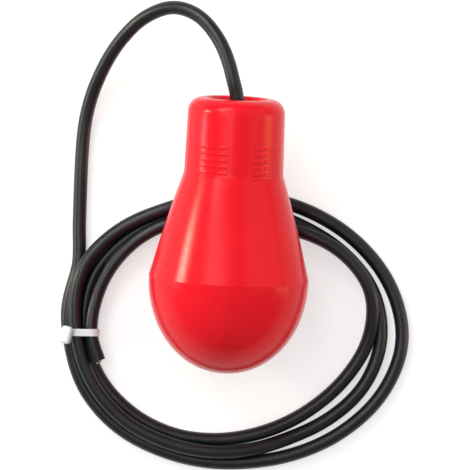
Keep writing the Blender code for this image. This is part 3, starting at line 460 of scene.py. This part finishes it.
cone_heights = [CONE_LENGTH * k / CONE_STEPS for k in range(1, CONE_STEPS)]
cone = [(cone_radius(h), h) for h in cone_heights]
cone = [(BELLY_RADIUS, WELD_GAP)] + [p for p in cone if p[1] < FOOT_BAR_LOW - FOOT_BAR_WIDTH]
foot = [(cone_radius(h), h) for h in (FOOT_BAR_LOW, FOOT_BAR_LOW + FOOT_BAR_WIDTH)]
foot += [(neck_radius(CONE_LENGTH) + FOOT_STEP_OUT, CONE_LENGTH + FOOT_STEP_UP)]
rungs = []
for row in range(RIB_ROWS):
    low = RIB_START + row * RIB_PITCH
    rungs += [(neck_radius(h), h) for h in (low, low + RIB_WIDTH)]
plain = [(neck_radius(h), h) for h in NECK_RINGS]
lip_height = NECK_END - LIP_ROUND
lip = quarter(NECK_END_RADIUS - LIP_ROUND, lip_height, LIP_ROUND, 0, 90, 20)
lip += quarter(DISH_EDGE + LIP_INNER_ROUND, NECK_END - LIP_INNER_ROUND, LIP_INNER_ROUND, 90, 180, 10)
dish = [(DISH_EDGE - DISH_SLOPE, DISH_FLOOR), (SEAL_POCKET, DISH_FLOOR),
        (SEAL_POCKET, SEAL_POCKET_FLOOR), (CABLE_BORE, SEAL_POCKET_FLOOR),
        (CABLE_BORE, SEAL_POCKET_FLOOR - CASING_WALL),
        (SEAL_POCKET + CASING_WALL, SEAL_POCKET_FLOOR - CASING_WALL),
        (SEAL_POCKET + CASING_WALL, DISH_FLOOR - CASING_WALL)]
roof = NECK_END - CASING_WALL
inner_bend = LIP_ROUND - CASING_WALL
inside = [(DISH_EDGE - DISH_SLOPE + CASING_WALL, DISH_FLOOR - CASING_WALL),
          (DISH_EDGE + CASING_WALL, roof - LIP_INNER_ROUND)]
inside += quarter(NECK_END_RADIUS - CASING_WALL - inner_bend, roof - inner_bend, inner_bend, 90, 0, 8)
ledge_bore = cone_radius(LEDGE_LOW) - CASING_WALL - LEDGE_SET_IN - LEDGE_WIDTH
inside += [(NECK_FOOT_RADIUS - CASING_WALL, CONE_LENGTH),
           (cone_radius(LEDGE_HIGH) - CASING_WALL, LEDGE_HIGH), (ledge_bore, LEDGE_HIGH),
           (ledge_bore, LEDGE_LOW), (cone_radius(LEDGE_LOW) - CASING_WALL, LEDGE_LOW)]
mouth = BELLY_RADIUS - SPIGOT_COVER
mouth_top = SPIGOT_HEIGHT + SEAT_GAP
inside += [(cone_radius(mouth_top) - CASING_WALL, mouth_top), (mouth, mouth_top), (mouth, WELD_GAP)]
upper = turn_profile("casing_neck_and_cone", cone + foot + rungs + plain + lip + dish + inside,
                     CASING_STEPS)


def on_ladder(middle, bars, low, width):
    """Outside face between two heights, inside one of the bars' angles or its mirror image."""
    if not low < middle.z < low + width or math.hypot(middle.x, middle.y) < NECK_END_RADIUS - RIB_EDGE:
        return False
    side = math.degrees(math.atan2(middle.x, abs(middle.y)))
    return any(start < side < end for start, end in bars)


bpy.ops.object.mode_set(mode="EDIT")
bpy.ops.mesh.select_all(action="SELECT")
bpy.ops.transform.rotate(value=HALF_STEP, orient_axis="Z", center_override=(0, 0, 0))
bars = [(LADDERS, RIB_START + row * RIB_PITCH, RIB_WIDTH) for row in range(RIB_ROWS)]
bars.append((FOOT_BARS, FOOT_BAR_LOW, FOOT_BAR_WIDTH))
select_faces(upper, lambda middle: any(on_ladder(middle, *bar) for bar in bars))
bpy.ops.mesh.extrude_region_shrink_fatten(TRANSFORM_OT_shrink_fatten={"value": RIB_HEIGHT})
bpy.ops.mesh.region_to_loop()
bpy.ops.mesh.bevel(offset=RIB_EDGE, segments=2, affect="EDGES")
bpy.ops.mesh.select_all(action="DESELECT")
bpy.ops.object.mode_set(mode="OBJECT")
polypropylene = grainy_finish("red polypropylene", (0.80, 0.0070, 0.0160), (0.85, 0.0090, 0.0200),
                              (0.19, 0.28), 22.0, 480.0, 0.000012, specular=0.19)
set_down(upper, FLOAT_FRAME, "float", polypropylene)
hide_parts("casing_upper")


# Lower casing
# The dome, moulded in the same red polypropylene. A spigot round its mouth
# fits into the cone, and a ring in its floor holds the dry capsule.
DOME_DEPTH = 0.0602
DOME_FULLNESS = 2.06
DOME_STEPS = 44
SPIGOT_WALL = 0.0022
SOCKET_BORE = 0.0208
SOCKET_WALL = 0.0022
SOCKET_TOP = -0.0280
SOCKET_SEAT = -0.0363
SOCKET_LEDGE = 0.0045


def dome_points(radius, depth, steps):
    """Outline from the dome's tip out to its edge."""
    points = []
    for k in range(steps + 1):
        angle = math.pi / 2 * k / steps
        points.append((radius * math.sin(angle) ** (2 / DOME_FULLNESS),
                       -depth * math.cos(angle) ** (2 / DOME_FULLNESS)))
    points[0] = (0.0, -depth)
    points[-1] = (radius, -WELD_GAP)
    return points


def dome_wall(radius):
    share = (radius / (BELLY_RADIUS - CASING_WALL)) ** DOME_FULLNESS
    return -(DOME_DEPTH - CASING_WALL) * (1 - share) ** (1 / DOME_FULLNESS)


spigot_out = BELLY_RADIUS - SPIGOT_COVER - SEAT_GAP
spigot_in = spigot_out - SPIGOT_WALL
socket_out = SOCKET_BORE + SOCKET_WALL
ledge_in = SOCKET_BORE - SOCKET_LEDGE
inner = dome_points(BELLY_RADIUS - CASING_WALL, DOME_DEPTH - CASING_WALL, DOME_STEPS // 2)
profile = dome_points(BELLY_RADIUS, DOME_DEPTH, DOME_STEPS)
profile += [(spigot_out, -WELD_GAP), (spigot_out, SPIGOT_HEIGHT), (spigot_in, SPIGOT_HEIGHT),
            (spigot_in, dome_wall(spigot_in))]
profile += [p for p in reversed(inner) if socket_out + CASING_WALL < p[0] < spigot_in]
profile += [(socket_out, dome_wall(socket_out)), (socket_out, SOCKET_TOP), (SOCKET_BORE, SOCKET_TOP),
            (SOCKET_BORE, SOCKET_SEAT), (ledge_in, SOCKET_SEAT), (ledge_in, dome_wall(ledge_in))]
profile += [p for p in reversed(inner) if p[0] < ledge_in - CASING_WALL / 2]
lower = turn_profile("casing_dome", profile, CASING_STEPS)
set_down(lower, FLOAT_FRAME, "float", polypropylene)
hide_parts("casing_lower")


# Cut end
# The cable is cut square after the tie. Its three cores stand out a little,
# each in its own insulation round seven strands of tinned copper.
CORE_RADIUS = 0.0011
CORE_CIRCLE = 0.00154
SLEEVE_DEPTH = 0.0010
SLEEVE_OUT = 0.0007
WIRE_RADIUS = 0.00022
WIRE_CIRCLE = 0.00046
WIRE_OUT = 0.0016
WIRE_UNEVEN = 0.00008
OUTER_WIRES = 6
cable_end = cable_line[-1]
end_direction = (cable_line[-1] - cable_line[-4]).normalized()
END_FRAME = Matrix.Translation(cable_end) @ end_direction.to_track_quat("Z", "X").to_matrix().to_4x4()


def cylinder(name, radius, low, high, at=(0.0, 0.0), sides=24):
    """Start a piece as a round bar along Z, left in object mode."""
    bpy.ops.object.select_all(action="DESELECT")
    bpy.ops.mesh.primitive_cylinder_add(vertices=sides, radius=radius, depth=high - low,
                                        location=(*at, (low + high) / 2))
    item = bpy.context.object
    item.name = item.data.name = name
    bpy.ops.object.transform_apply(location=True, rotation=True, scale=True)
    return item


def hollow_end(item, height, rim, depth):
    """Inset the end face at a height and push it in, which leaves a round bore."""
    bpy.ops.object.mode_set(mode="EDIT")
    select_faces(item, lambda middle: abs(middle.z - height) < SEAT_GAP / 10)
    bpy.ops.mesh.inset(thickness=rim)
    bpy.ops.mesh.extrude_region_move(TRANSFORM_OT_translate={"value": (0, 0, -depth)})
    bpy.ops.mesh.select_all(action="DESELECT")
    bpy.ops.object.mode_set(mode="OBJECT")


def join_pieces(name, parts):
    bpy.ops.object.select_all(action="DESELECT")
    for part in parts:
        part.select_set(True)
    bpy.context.view_layer.objects.active = parts[0]
    bpy.ops.object.join()
    parts[0].name = parts[0].data.name = name
    return parts[0]


CORE_SHADES = {
    "brown": ((0.11, 0.040, 0.016), (0.16, 0.062, 0.026)),
    "blue": ((0.015, 0.080, 0.30), (0.022, 0.12, 0.42)),
    "yellow": ((0.50, 0.46, 0.05), (0.62, 0.56, 0.07)),
}
tinned = grainy_finish("tinned copper", (0.50, 0.51, 0.54), (0.66, 0.67, 0.70), (0.25, 0.40),
                       900.0, 4000.0, 0.00001, metallic=1.0)
cut_pieces = []
insulation = {}
for turn, (colour, (dark, light)) in enumerate(CORE_SHADES.items()):
    insulation[colour] = grainy_finish(colour + " insulation", dark, light, (0.35, 0.50),
                                       300.0, 3000.0, 0.00001)
    bearing = math.radians(90 + 120 * turn)
    at = (CORE_CIRCLE * math.cos(bearing), CORE_CIRCLE * math.sin(bearing))
    sleeve = cylinder("cut_core_" + colour, CORE_RADIUS, -SLEEVE_DEPTH, SLEEVE_OUT, at)
    hollow_end(sleeve, SLEEVE_OUT, CORE_RADIUS - WIRE_CIRCLE - WIRE_RADIUS, SLEEVE_OUT)
    set_down(sleeve, END_FRAME, "float", insulation[colour])
    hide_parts("end_core_" + colour)
    wires = []
    for k in range(OUTER_WIRES + 1):
        angle = 2 * math.pi * k / OUTER_WIRES
        reach = WIRE_CIRCLE if k < OUTER_WIRES else 0.0
        spot = (at[0] + reach * math.cos(angle), at[1] + reach * math.sin(angle))
        wire = cylinder("wire", WIRE_RADIUS, 0.0, WIRE_OUT - WIRE_UNEVEN * (k % 3), spot, sides=10)
        bpy.ops.object.mode_set(mode="EDIT")
        select_faces(wire, lambda middle: middle.z > WIRE_OUT - SEAT_GAP)
        bpy.ops.mesh.inset(thickness=WIRE_RADIUS / 3)
        bpy.ops.transform.translate(value=(0, 0, WIRE_RADIUS / 3))
        bpy.ops.object.mode_set(mode="OBJECT")
        wires.append(wire)
    strands = join_pieces("cut_strands_" + colour, wires)
    set_down(strands, END_FRAME, "float", tinned)
    cut_pieces += [sleeve, strands]


# Cable tie
# A white nylon tie holds the turns: a strap with raised edges drawn tight
# round them and a ratchet head on the outer shoulder, its tail cut off flush.
TIE_WIDTH = 0.0046
TIE_THICKNESS = 0.0010
TIE_SLACK = 0.00012
TIE_RIM = 0.0008
TIE_CHANNEL = 0.00016
TIE_ROUND = 0.00018
HEAD_LENGTH = 0.0074
HEAD_WIDTH = 0.0112
HEAD_THICKNESS = 0.0046
HEAD_ROUND = 0.0019
HEAD_TILT = math.radians(28.0)
HEAD_TURN = math.radians(-12.0)
HEAD_RADIUS = 0.1073
HEAD_HEIGHT = 0.0196
HEAD_SHIFT = 0.0015
HEAD_FRAME = 0.0006
HEAD_SLOT_RIM = 0.0005
HEAD_SLOT_DEPTH = 0.0016
turned = math.radians(TIE_BEARING)
outward = Vector((math.cos(turned), math.sin(turned), 0.0))
TIE_FRAME = Matrix.Translation(COIL_CENTRE) @ Matrix.Rotation(turned, 4, "Z")


def strands_at(direction):
    """Radius and height of each strand where it crosses a direction from the coil's middle."""
    across = Vector((-direction.y, direction.x, 0.0))
    found = []
    for a, b in zip(cable_line, cable_line[1:]):
        before, after = (a - COIL_CENTRE).dot(across), (b - COIL_CENTRE).dot(across)
        if before * after <= 0 < (a - COIL_CENTRE).dot(direction):
            share = before / (before - after)
            middle = a.lerp(b, share)
            found.append(((middle - COIL_CENTRE).dot(direction), middle.z))
    return found


def hull(points):
    """Tight closed outline round points, in order."""
    ordered = sorted(points)
    sides = []
    for run in (ordered, ordered[::-1]):
        side = []
        for point in run:
            while len(side) > 1 and ((side[-1][0] - side[-2][0]) * (point[1] - side[-2][1])
                                     - (side[-1][1] - side[-2][1]) * (point[0] - side[-2][0])) <= 0:
                side.pop()
            side.append(point)
        sides += side[:-1]
    return sides


ring = []
for radius, height in strands_at(outward):
    ring += quarter(radius, height, CABLE_RADIUS + TIE_SLACK, 0, 350, 35)
outline = [Vector((radius, -TIE_WIDTH / 2, height)) for radius, height in hull(ring)]
strap = draw_outline("tie_band", outline)
bpy.ops.mesh.extrude_region_move(TRANSFORM_OT_translate={"value": (0, TIE_WIDTH, 0)})
bpy.ops.mesh.select_all(action="SELECT")
bpy.ops.mesh.normals_make_consistent(inside=False)
bpy.ops.object.mode_set(mode="OBJECT")


def apply_modifier(item, name, kind, **settings):
    made = item.modifiers.new(name, kind)
    for key, value in settings.items():
        setattr(made, key, value)
    bpy.context.view_layer.objects.active = item
    bpy.ops.object.modifier_apply(modifier=made.name)


middle_r = sum(p.x for p in outline) / len(outline)
middle_z = sum(p.z for p in outline) / len(outline)
apply_modifier(strap, "wall", "SOLIDIFY", thickness=TIE_THICKNESS, offset=1.0, use_even_offset=True)
bpy.ops.object.mode_set(mode="EDIT")
bpy.ops.mesh.select_mode(type="FACE")
bpy.ops.mesh.select_all(action="DESELECT")
shape = bmesh.from_edit_mesh(strap.data)
for face in shape.faces:
    spoke = face.calc_center_median() - Vector((middle_r, 0.0, middle_z))
    if abs(face.normal.y) < 0.5 and face.normal.dot(spoke) > 0:
        face.select_set(True)
bmesh.update_edit_mesh(strap.data)
bpy.ops.mesh.inset(thickness=TIE_RIM, depth=-TIE_CHANNEL)
bpy.ops.mesh.select_all(action="DESELECT")
bpy.ops.object.mode_set(mode="OBJECT")
apply_modifier(strap, "edges", "BEVEL", width=TIE_ROUND, segments=2, limit_method="ANGLE",
               angle_limit=math.radians(50))
nylon = grainy_finish("white nylon", (0.72, 0.78, 0.82), (0.80, 0.85, 0.88), (0.28, 0.40),
                      120.0, 2500.0, 0.00001)
set_down(strap, TIE_FRAME, "float", nylon)
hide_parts("tie_strap")

bpy.ops.object.select_all(action="DESELECT")
bpy.ops.mesh.primitive_cube_add(size=1.0)
head = bpy.context.object
head.name = head.data.name = "tie_ratchet_head"
bpy.ops.object.mode_set(mode="EDIT")
bpy.ops.transform.resize(value=(HEAD_LENGTH, HEAD_WIDTH, HEAD_THICKNESS))
bpy.ops.mesh.bevel(offset=HEAD_ROUND, segments=4, affect="EDGES")
select_faces(head, lambda middle: middle.z > HEAD_THICKNESS * 0.49)
bpy.ops.mesh.inset(thickness=HEAD_FRAME)
bpy.ops.transform.translate(value=(0, 0, -TIE_CHANNEL))
select_faces(head, lambda middle: middle.x > HEAD_LENGTH * 0.49)
bpy.ops.mesh.inset(thickness=HEAD_SLOT_RIM)
bpy.ops.mesh.extrude_region_move(TRANSFORM_OT_translate={"value": (-HEAD_SLOT_DEPTH, 0, 0)})
bpy.ops.mesh.select_all(action="DESELECT")
bpy.ops.object.mode_set(mode="OBJECT")
head_place = (TIE_FRAME @ Matrix.Translation((HEAD_RADIUS, HEAD_SHIFT, HEAD_HEIGHT))
              @ Matrix.Rotation(HEAD_TURN, 4, "Z") @ Matrix.Rotation(HEAD_TILT, 4, "Y"))
set_down(head, head_place, "float", nylon)
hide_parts("tie_head")


# Seal and hidden cable
# A black rubber grommet fills the pocket under the dish and grips the cable,
# which runs on through it and the clamp to the lid of the capsule.
SEAL_RADIUS = 0.0098
SEAL_RIB = 0.00025
SEAL_COLLAR = 0.0016
SEAL_RIBS = 4
SEAL_RIB_FOOT = 0.0008
SEAL_RIB_CREST = 0.0003
SEAL_STEPS = 96
CABLE_INNER_LOW = 0.0463
seal_low, seal_high = SEAL_POCKET_FLOOR + SEAT_GAP, DISH_FLOOR
seal_ribs = []
for k in range(SEAL_RIBS):
    rib = seal_low + (seal_high - seal_low) * (k + 0.5) / SEAL_RIBS
    seal_ribs += [(SEAL_RADIUS - SEAL_RIB, rib - SEAL_RIB_FOOT), (SEAL_RADIUS, rib - SEAL_RIB_CREST),
                  (SEAL_RADIUS, rib + SEAL_RIB_CREST), (SEAL_RADIUS - SEAL_RIB, rib + SEAL_RIB_FOOT)]
seal_profile = [(CABLE_RADIUS, seal_low), (SEAL_RADIUS - SEAL_RIB, seal_low)] + seal_ribs
seal_profile += [(SEAL_RADIUS - SEAL_RIB, seal_high - SEAL_RIB), (SEAL_RADIUS - 2 * SEAL_RIB, seal_high),
                 (CABLE_RADIUS + 2 * SEAL_COLLAR, seal_high)]
seal_profile += quarter(CABLE_RADIUS + SEAL_COLLAR, seal_high, SEAL_COLLAR * 0.4, 0, 180, 8)
seal_profile += [(CABLE_RADIUS + SEAL_RIB, seal_high - SEAL_RIB)]
seal = turn_profile("neck_seal", seal_profile, SEAL_STEPS)
seal_rubber = grainy_finish("black seal rubber", (0.010, 0.010, 0.011), (0.017, 0.017, 0.018),
                            (0.50, 0.65), 150.0, 2200.0, 0.00002)
set_down(seal, FLOAT_FRAME, "float", seal_rubber)
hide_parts("cable_seal")
hidden_cable = cylinder("cable_in_neck", CABLE_RADIUS, CABLE_INNER_LOW, CABLE_EXIT, sides=48)
hollow_end(hidden_cable, CABLE_INNER_LOW, CABLE_RADIUS / 4, -CABLE_RADIUS / 8)
set_down(hidden_cable, FLOAT_FRAME, "float", sheath)
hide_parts("cable_inner")


# Cable clamp
# Two grey glass-filled nylon halves grip the sheath under the seal, drawn
# together by two steel screws with cross recesses.
CLAMP_SCREW_X = 0.00865
CLAMP_MIDDLE = 0.0867
CLAMP_FRONT = -0.0091
CLAMP_SCREW_LENGTH = 0.0179
SCREW_RADIUS = 0.0014
SCREW_HEAD_RADIUS = 0.0026
SCREW_HEAD_HEIGHT = 0.0016
THREAD_PITCH = 0.0006
THREAD_DEPTH = 0.00018
RECESS_WIDTH = 0.0005
RECESS_REACH = 0.0028
EDGE_ROUND = 0.0002
SCREW_STEPS = 40
SCREW_MERGE = 0.00002


def softened(node_name, name, width, body, finish):
    """A copy of a node with its loose triangles merged and its sharp edges rounded."""
    item = nodes[node_name].copy()
    item.data = nodes[node_name].data.copy()
    item.name = item.data.name = name
    for key in list(item.keys()):
        del item[key]
    item.parent = None
    item.matrix_world = nodes[node_name].matrix_world.copy()
    item.hide_render = item.hide_viewport = False
    scene.collection.objects.link(item)
    bpy.ops.object.select_all(action="DESELECT")
    item.select_set(True)
    bpy.context.view_layer.objects.active = item
    bpy.ops.object.mode_set(mode="EDIT")
    bpy.ops.mesh.select_mode(type="EDGE")
    bpy.ops.mesh.select_all(action="SELECT")
    bpy.ops.mesh.remove_doubles(threshold=2 * SAME_POINT)
    bpy.ops.mesh.dissolve_limited(angle_limit=math.radians(1.0))
    bpy.ops.mesh.select_all(action="DESELECT")
    bpy.ops.object.mode_set(mode="OBJECT")
    apply_modifier(item, "edges", "BEVEL", width=width, segments=2, limit_method="ANGLE",
                   angle_limit=math.radians(50), use_clamp_overlap=True)
    set_down(item, Matrix.Identity(4), body, finish)
    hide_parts(node_name)


def screw(name, length):
    """A pan-head screw along Z, its head below zero, threaded and with a cross recess."""
    half = SCREW_HEAD_HEIGHT * 0.5
    head = quarter(SCREW_HEAD_RADIUS * 0.55, -half, half, -90, -20, 5)
    profile = [(0.0, -SCREW_HEAD_HEIGHT)] + head
    profile += [(SCREW_HEAD_RADIUS, -SCREW_HEAD_HEIGHT * 0.45), (SCREW_HEAD_RADIUS, 0.0)]
    profile += [(SCREW_RADIUS, 0.0)]
    count = int(length * 0.6 / THREAD_PITCH)
    for k in range(count):
        crest = length - (count - k) * THREAD_PITCH
        profile += [(SCREW_RADIUS - THREAD_DEPTH, crest), (SCREW_RADIUS, crest + THREAD_PITCH / 2)]
    profile += [(SCREW_RADIUS - THREAD_DEPTH, length - THREAD_PITCH / 4)]
    profile += [(SCREW_RADIUS / 2, length), (0.0, length)]
    item = turn_profile(name, profile, SCREW_STEPS)
    for size in ((RECESS_REACH, RECESS_WIDTH), (RECESS_WIDTH, RECESS_REACH)):
        bpy.ops.object.select_all(action="DESELECT")
        bpy.ops.mesh.primitive_cube_add(size=1.0, location=(0, 0, -SCREW_HEAD_HEIGHT))
        slot_cutter = bpy.context.object
        slot_cutter.scale = (*size, SCREW_HEAD_HEIGHT)
        apply_modifier(item, "recess", "BOOLEAN", object=slot_cutter, operation="DIFFERENCE")
        bpy.data.objects.remove(slot_cutter)
    bpy.ops.object.mode_set(mode="EDIT")
    bpy.ops.mesh.select_all(action="SELECT")
    bpy.ops.mesh.remove_doubles(threshold=SCREW_MERGE)
    bpy.ops.mesh.dissolve_degenerate(threshold=SCREW_MERGE / 2)
    bpy.ops.object.mode_set(mode="OBJECT")
    return item


def copy_of(item, name):
    made = item.copy()
    made.data = item.data.copy()
    made.name = made.data.name = name
    scene.collection.objects.link(made)
    return made


grey_nylon = grainy_finish("grey glass-filled nylon", (0.25, 0.26, 0.27), (0.34, 0.35, 0.36),
                           (0.42, 0.58), 200.0, 2600.0, 0.00002)
steel = grainy_finish("bright steel", (0.52, 0.53, 0.55), (0.68, 0.69, 0.70), (0.16, 0.30),
                      260.0, 5000.0, 0.000006, metallic=1.0)
softened("clamp_bridge", "clamp_front_half", EDGE_ROUND, "float", grey_nylon)
softened("clamp_saddle", "clamp_rear_half", EDGE_ROUND, "float", grey_nylon)
FACING_FRONT = Matrix.Rotation(-math.pi / 2, 4, "X")
long_screw = screw("clamp_bolt_left", CLAMP_SCREW_LENGTH)
for item, side, node_name in ((copy_of(long_screw, "clamp_bolt_right"), 1, "clamp_screw_right"),
                              (long_screw, -1, "clamp_screw_left")):
    place = Matrix.Translation((side * CLAMP_SCREW_X, CLAMP_FRONT, CLAMP_MIDDLE)) @ FACING_FRONT
    set_down(item, FLOAT_FRAME @ place, "float", steel)
    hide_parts(node_name)


# Dry capsule
# A grey nylon tube with a plugged lid keeps the switch dry. A rubber ring
# round the plug seals it, and the lid's flange carries it in the cone.
CAPSULE_RADIUS = 0.0175
CAPSULE_WALL = 0.0030
CAPSULE_FLOOR = 0.0023
CAPSULE_LOW = -0.0360
CAPSULE_STEP = 0.0400
CAPSULE_HIGH = 0.0466
MOUTH_STEP = 0.0012
MOUTH_RADIUS = CAPSULE_RADIUS + MOUTH_STEP
CORNER = 0.0004
CAPSULE_STEPS = 120
RING_SECTION = 0.0009
RING_MIDDLE = MOUTH_RADIUS - SEAT_GAP - RING_SECTION
RING_HEIGHT = CAPSULE_HIGH - SEAT_GAP - 2 * RING_SECTION
outside = CAPSULE_RADIUS + CAPSULE_WALL
floor = CAPSULE_LOW + CAPSULE_FLOOR
body_profile = [(0.0, CAPSULE_LOW)] + quarter(outside - 4 * CORNER, CAPSULE_LOW + 4 * CORNER,
                                              4 * CORNER, -90, 0, 6)
body_profile += quarter(outside - CORNER, CAPSULE_HIGH - CORNER, CORNER, 0, 90, 3)
body_profile += [(MOUTH_RADIUS + CORNER, CAPSULE_HIGH), (MOUTH_RADIUS, CAPSULE_HIGH - CORNER),
                 (MOUTH_RADIUS, CAPSULE_STEP), (CAPSULE_RADIUS, CAPSULE_STEP),
                 (CAPSULE_RADIUS, floor + 2 * CORNER), (CAPSULE_RADIUS - 2 * CORNER, floor), (0.0, floor)]
capsule = turn_profile("capsule_tube", body_profile, CAPSULE_STEPS)
set_down(capsule, FLOAT_FRAME, "float", grey_nylon)
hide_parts("capsule_body")
softened("capsule_cap", "capsule_lid", EDGE_ROUND, "float", grey_nylon)
ring_circle = quarter(RING_MIDDLE, RING_HEIGHT, RING_SECTION, 0, 345, 23)
ring_seal = turn_profile("capsule_ring_seal", ring_circle, CAPSULE_STEPS)
set_down(ring_seal, FLOAT_FRAME, "float", seal_rubber)
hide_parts("capsule_oring")


# Ball and guide
# A steel ball rolls in a white nylon tube as the float tips, up to where it
# meets the lever of the switch.
BALL_RADIUS = 0.0110
BALL_REST = -0.0201
BALL_CUTS = 23
BALL_PLAY = 0.0004
GUIDE_BORE = BALL_RADIUS + BALL_PLAY
GUIDE_WALL = 0.0018
GUIDE_LOW = -0.0334
GUIDE_FLOOR = 0.0020
GUIDE_TOP = 0.00588
GUIDE_WIDE = CAPSULE_RADIUS - SEAT_GAP
guide_floor = GUIDE_LOW + GUIDE_FLOOR
rim_low = GUIDE_TOP - GUIDE_FLOOR
guide_profile = [(0.0, GUIDE_LOW), (GUIDE_WIDE - CORNER, GUIDE_LOW), (GUIDE_WIDE, GUIDE_LOW + CORNER),
                 (GUIDE_WIDE, guide_floor), (GUIDE_BORE + GUIDE_WALL + CORNER, guide_floor),
                 (GUIDE_BORE + GUIDE_WALL, guide_floor + CORNER), (GUIDE_BORE + GUIDE_WALL, rim_low - CORNER),
                 (GUIDE_BORE + GUIDE_WALL + CORNER, rim_low), (GUIDE_WIDE, rim_low),
                 (GUIDE_WIDE, GUIDE_TOP - CORNER), (GUIDE_WIDE - CORNER, GUIDE_TOP),
                 (GUIDE_BORE + CORNER, GUIDE_TOP), (GUIDE_BORE, GUIDE_TOP - CORNER),
                 (GUIDE_BORE, guide_floor + 4 * CORNER),
                 (GUIDE_BORE - 4 * CORNER, guide_floor), (0.0, guide_floor)]
guide = turn_profile("ball_tube", guide_profile, CAPSULE_STEPS)
set_down(guide, FLOAT_FRAME, "float", nylon)
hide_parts("ball_guide")
bpy.ops.object.select_all(action="DESELECT")
bpy.ops.mesh.primitive_cube_add(size=2 * BALL_RADIUS, location=(0, 0, BALL_REST))
ball = bpy.context.object
ball.name = ball.data.name = "rolling_ball"
bpy.ops.object.mode_set(mode="EDIT")
bpy.ops.mesh.subdivide(number_cuts=BALL_CUTS)
bpy.ops.object.mode_set(mode="OBJECT")
for vert in ball.data.vertices:
    vert.co = vert.co.normalized() * BALL_RADIUS
set_down(ball, FLOAT_FRAME, "ball", steel)
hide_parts("steel_ball")


# Switch carrier
# A white nylon ring in the capsule's mouth with a plate down to the switch,
# which two screws hold against it.
CARRIER_SCREWS = (("carrier_screw_near", -0.011096, 0.0172), ("carrier_screw_far", 0.011096, 0.0267))
CARRIER_FRONT = -0.00545
CARRIER_SCREW_LENGTH = 0.0134
softened("switch_carrier", "switch_bracket", EDGE_ROUND, "float", nylon)
short_screw = screw("bracket_screw_near", CARRIER_SCREW_LENGTH)
bracket_screws = (copy_of(short_screw, "bracket_screw_far"), short_screw)
for item, (node_name, x, z) in zip(bracket_screws, CARRIER_SCREWS[::-1]):
    place = Matrix.Translation((x, CARRIER_FRONT, z)) @ FACING_FRONT
    set_down(item, FLOAT_FRAME @ place, "float", steel)
    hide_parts(node_name)


# Microswitch
# A snap switch in a black thermoset case: a steel lever with a rolled eye on
# a pin, a nylon plunger under it and three brass blades at the back.
black_thermoset = grainy_finish("black thermoset", (0.014, 0.014, 0.015), (0.026, 0.026, 0.028),
                                (0.40, 0.60), 240.0, 2400.0, 0.00002)
brass = grainy_finish("brass", (0.62, 0.42, 0.16), (0.78, 0.56, 0.26), (0.22, 0.38),
                      300.0, 4500.0, 0.000008, metallic=1.0)
softened("switch_case", "switch_housing", EDGE_ROUND, "float", black_thermoset)
for place_name in ("common", "open", "closed"):
    softened("terminal_" + place_name, "blade_" + place_name, EDGE_ROUND / 2, "float", brass)
softened("switch_plunger", "switch_button", EDGE_ROUND, "plunger", nylon)
softened("switch_lever", "switch_arm", EDGE_ROUND / 4, "lever", steel)
softened("lever_pin", "arm_pin", EDGE_ROUND / 2, "float", steel)


# Cores to the switch
# The cable's three cores come through the lid, each in its own colour, and
# are soldered to the blades.
for node_name, colour in (("core_common", "brown"), ("core_open", "blue"), ("core_closed", "yellow")):
    core = nodes[node_name]
    core.data.materials.clear()
    core.data.materials.append(insulation[colour])


low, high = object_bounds()
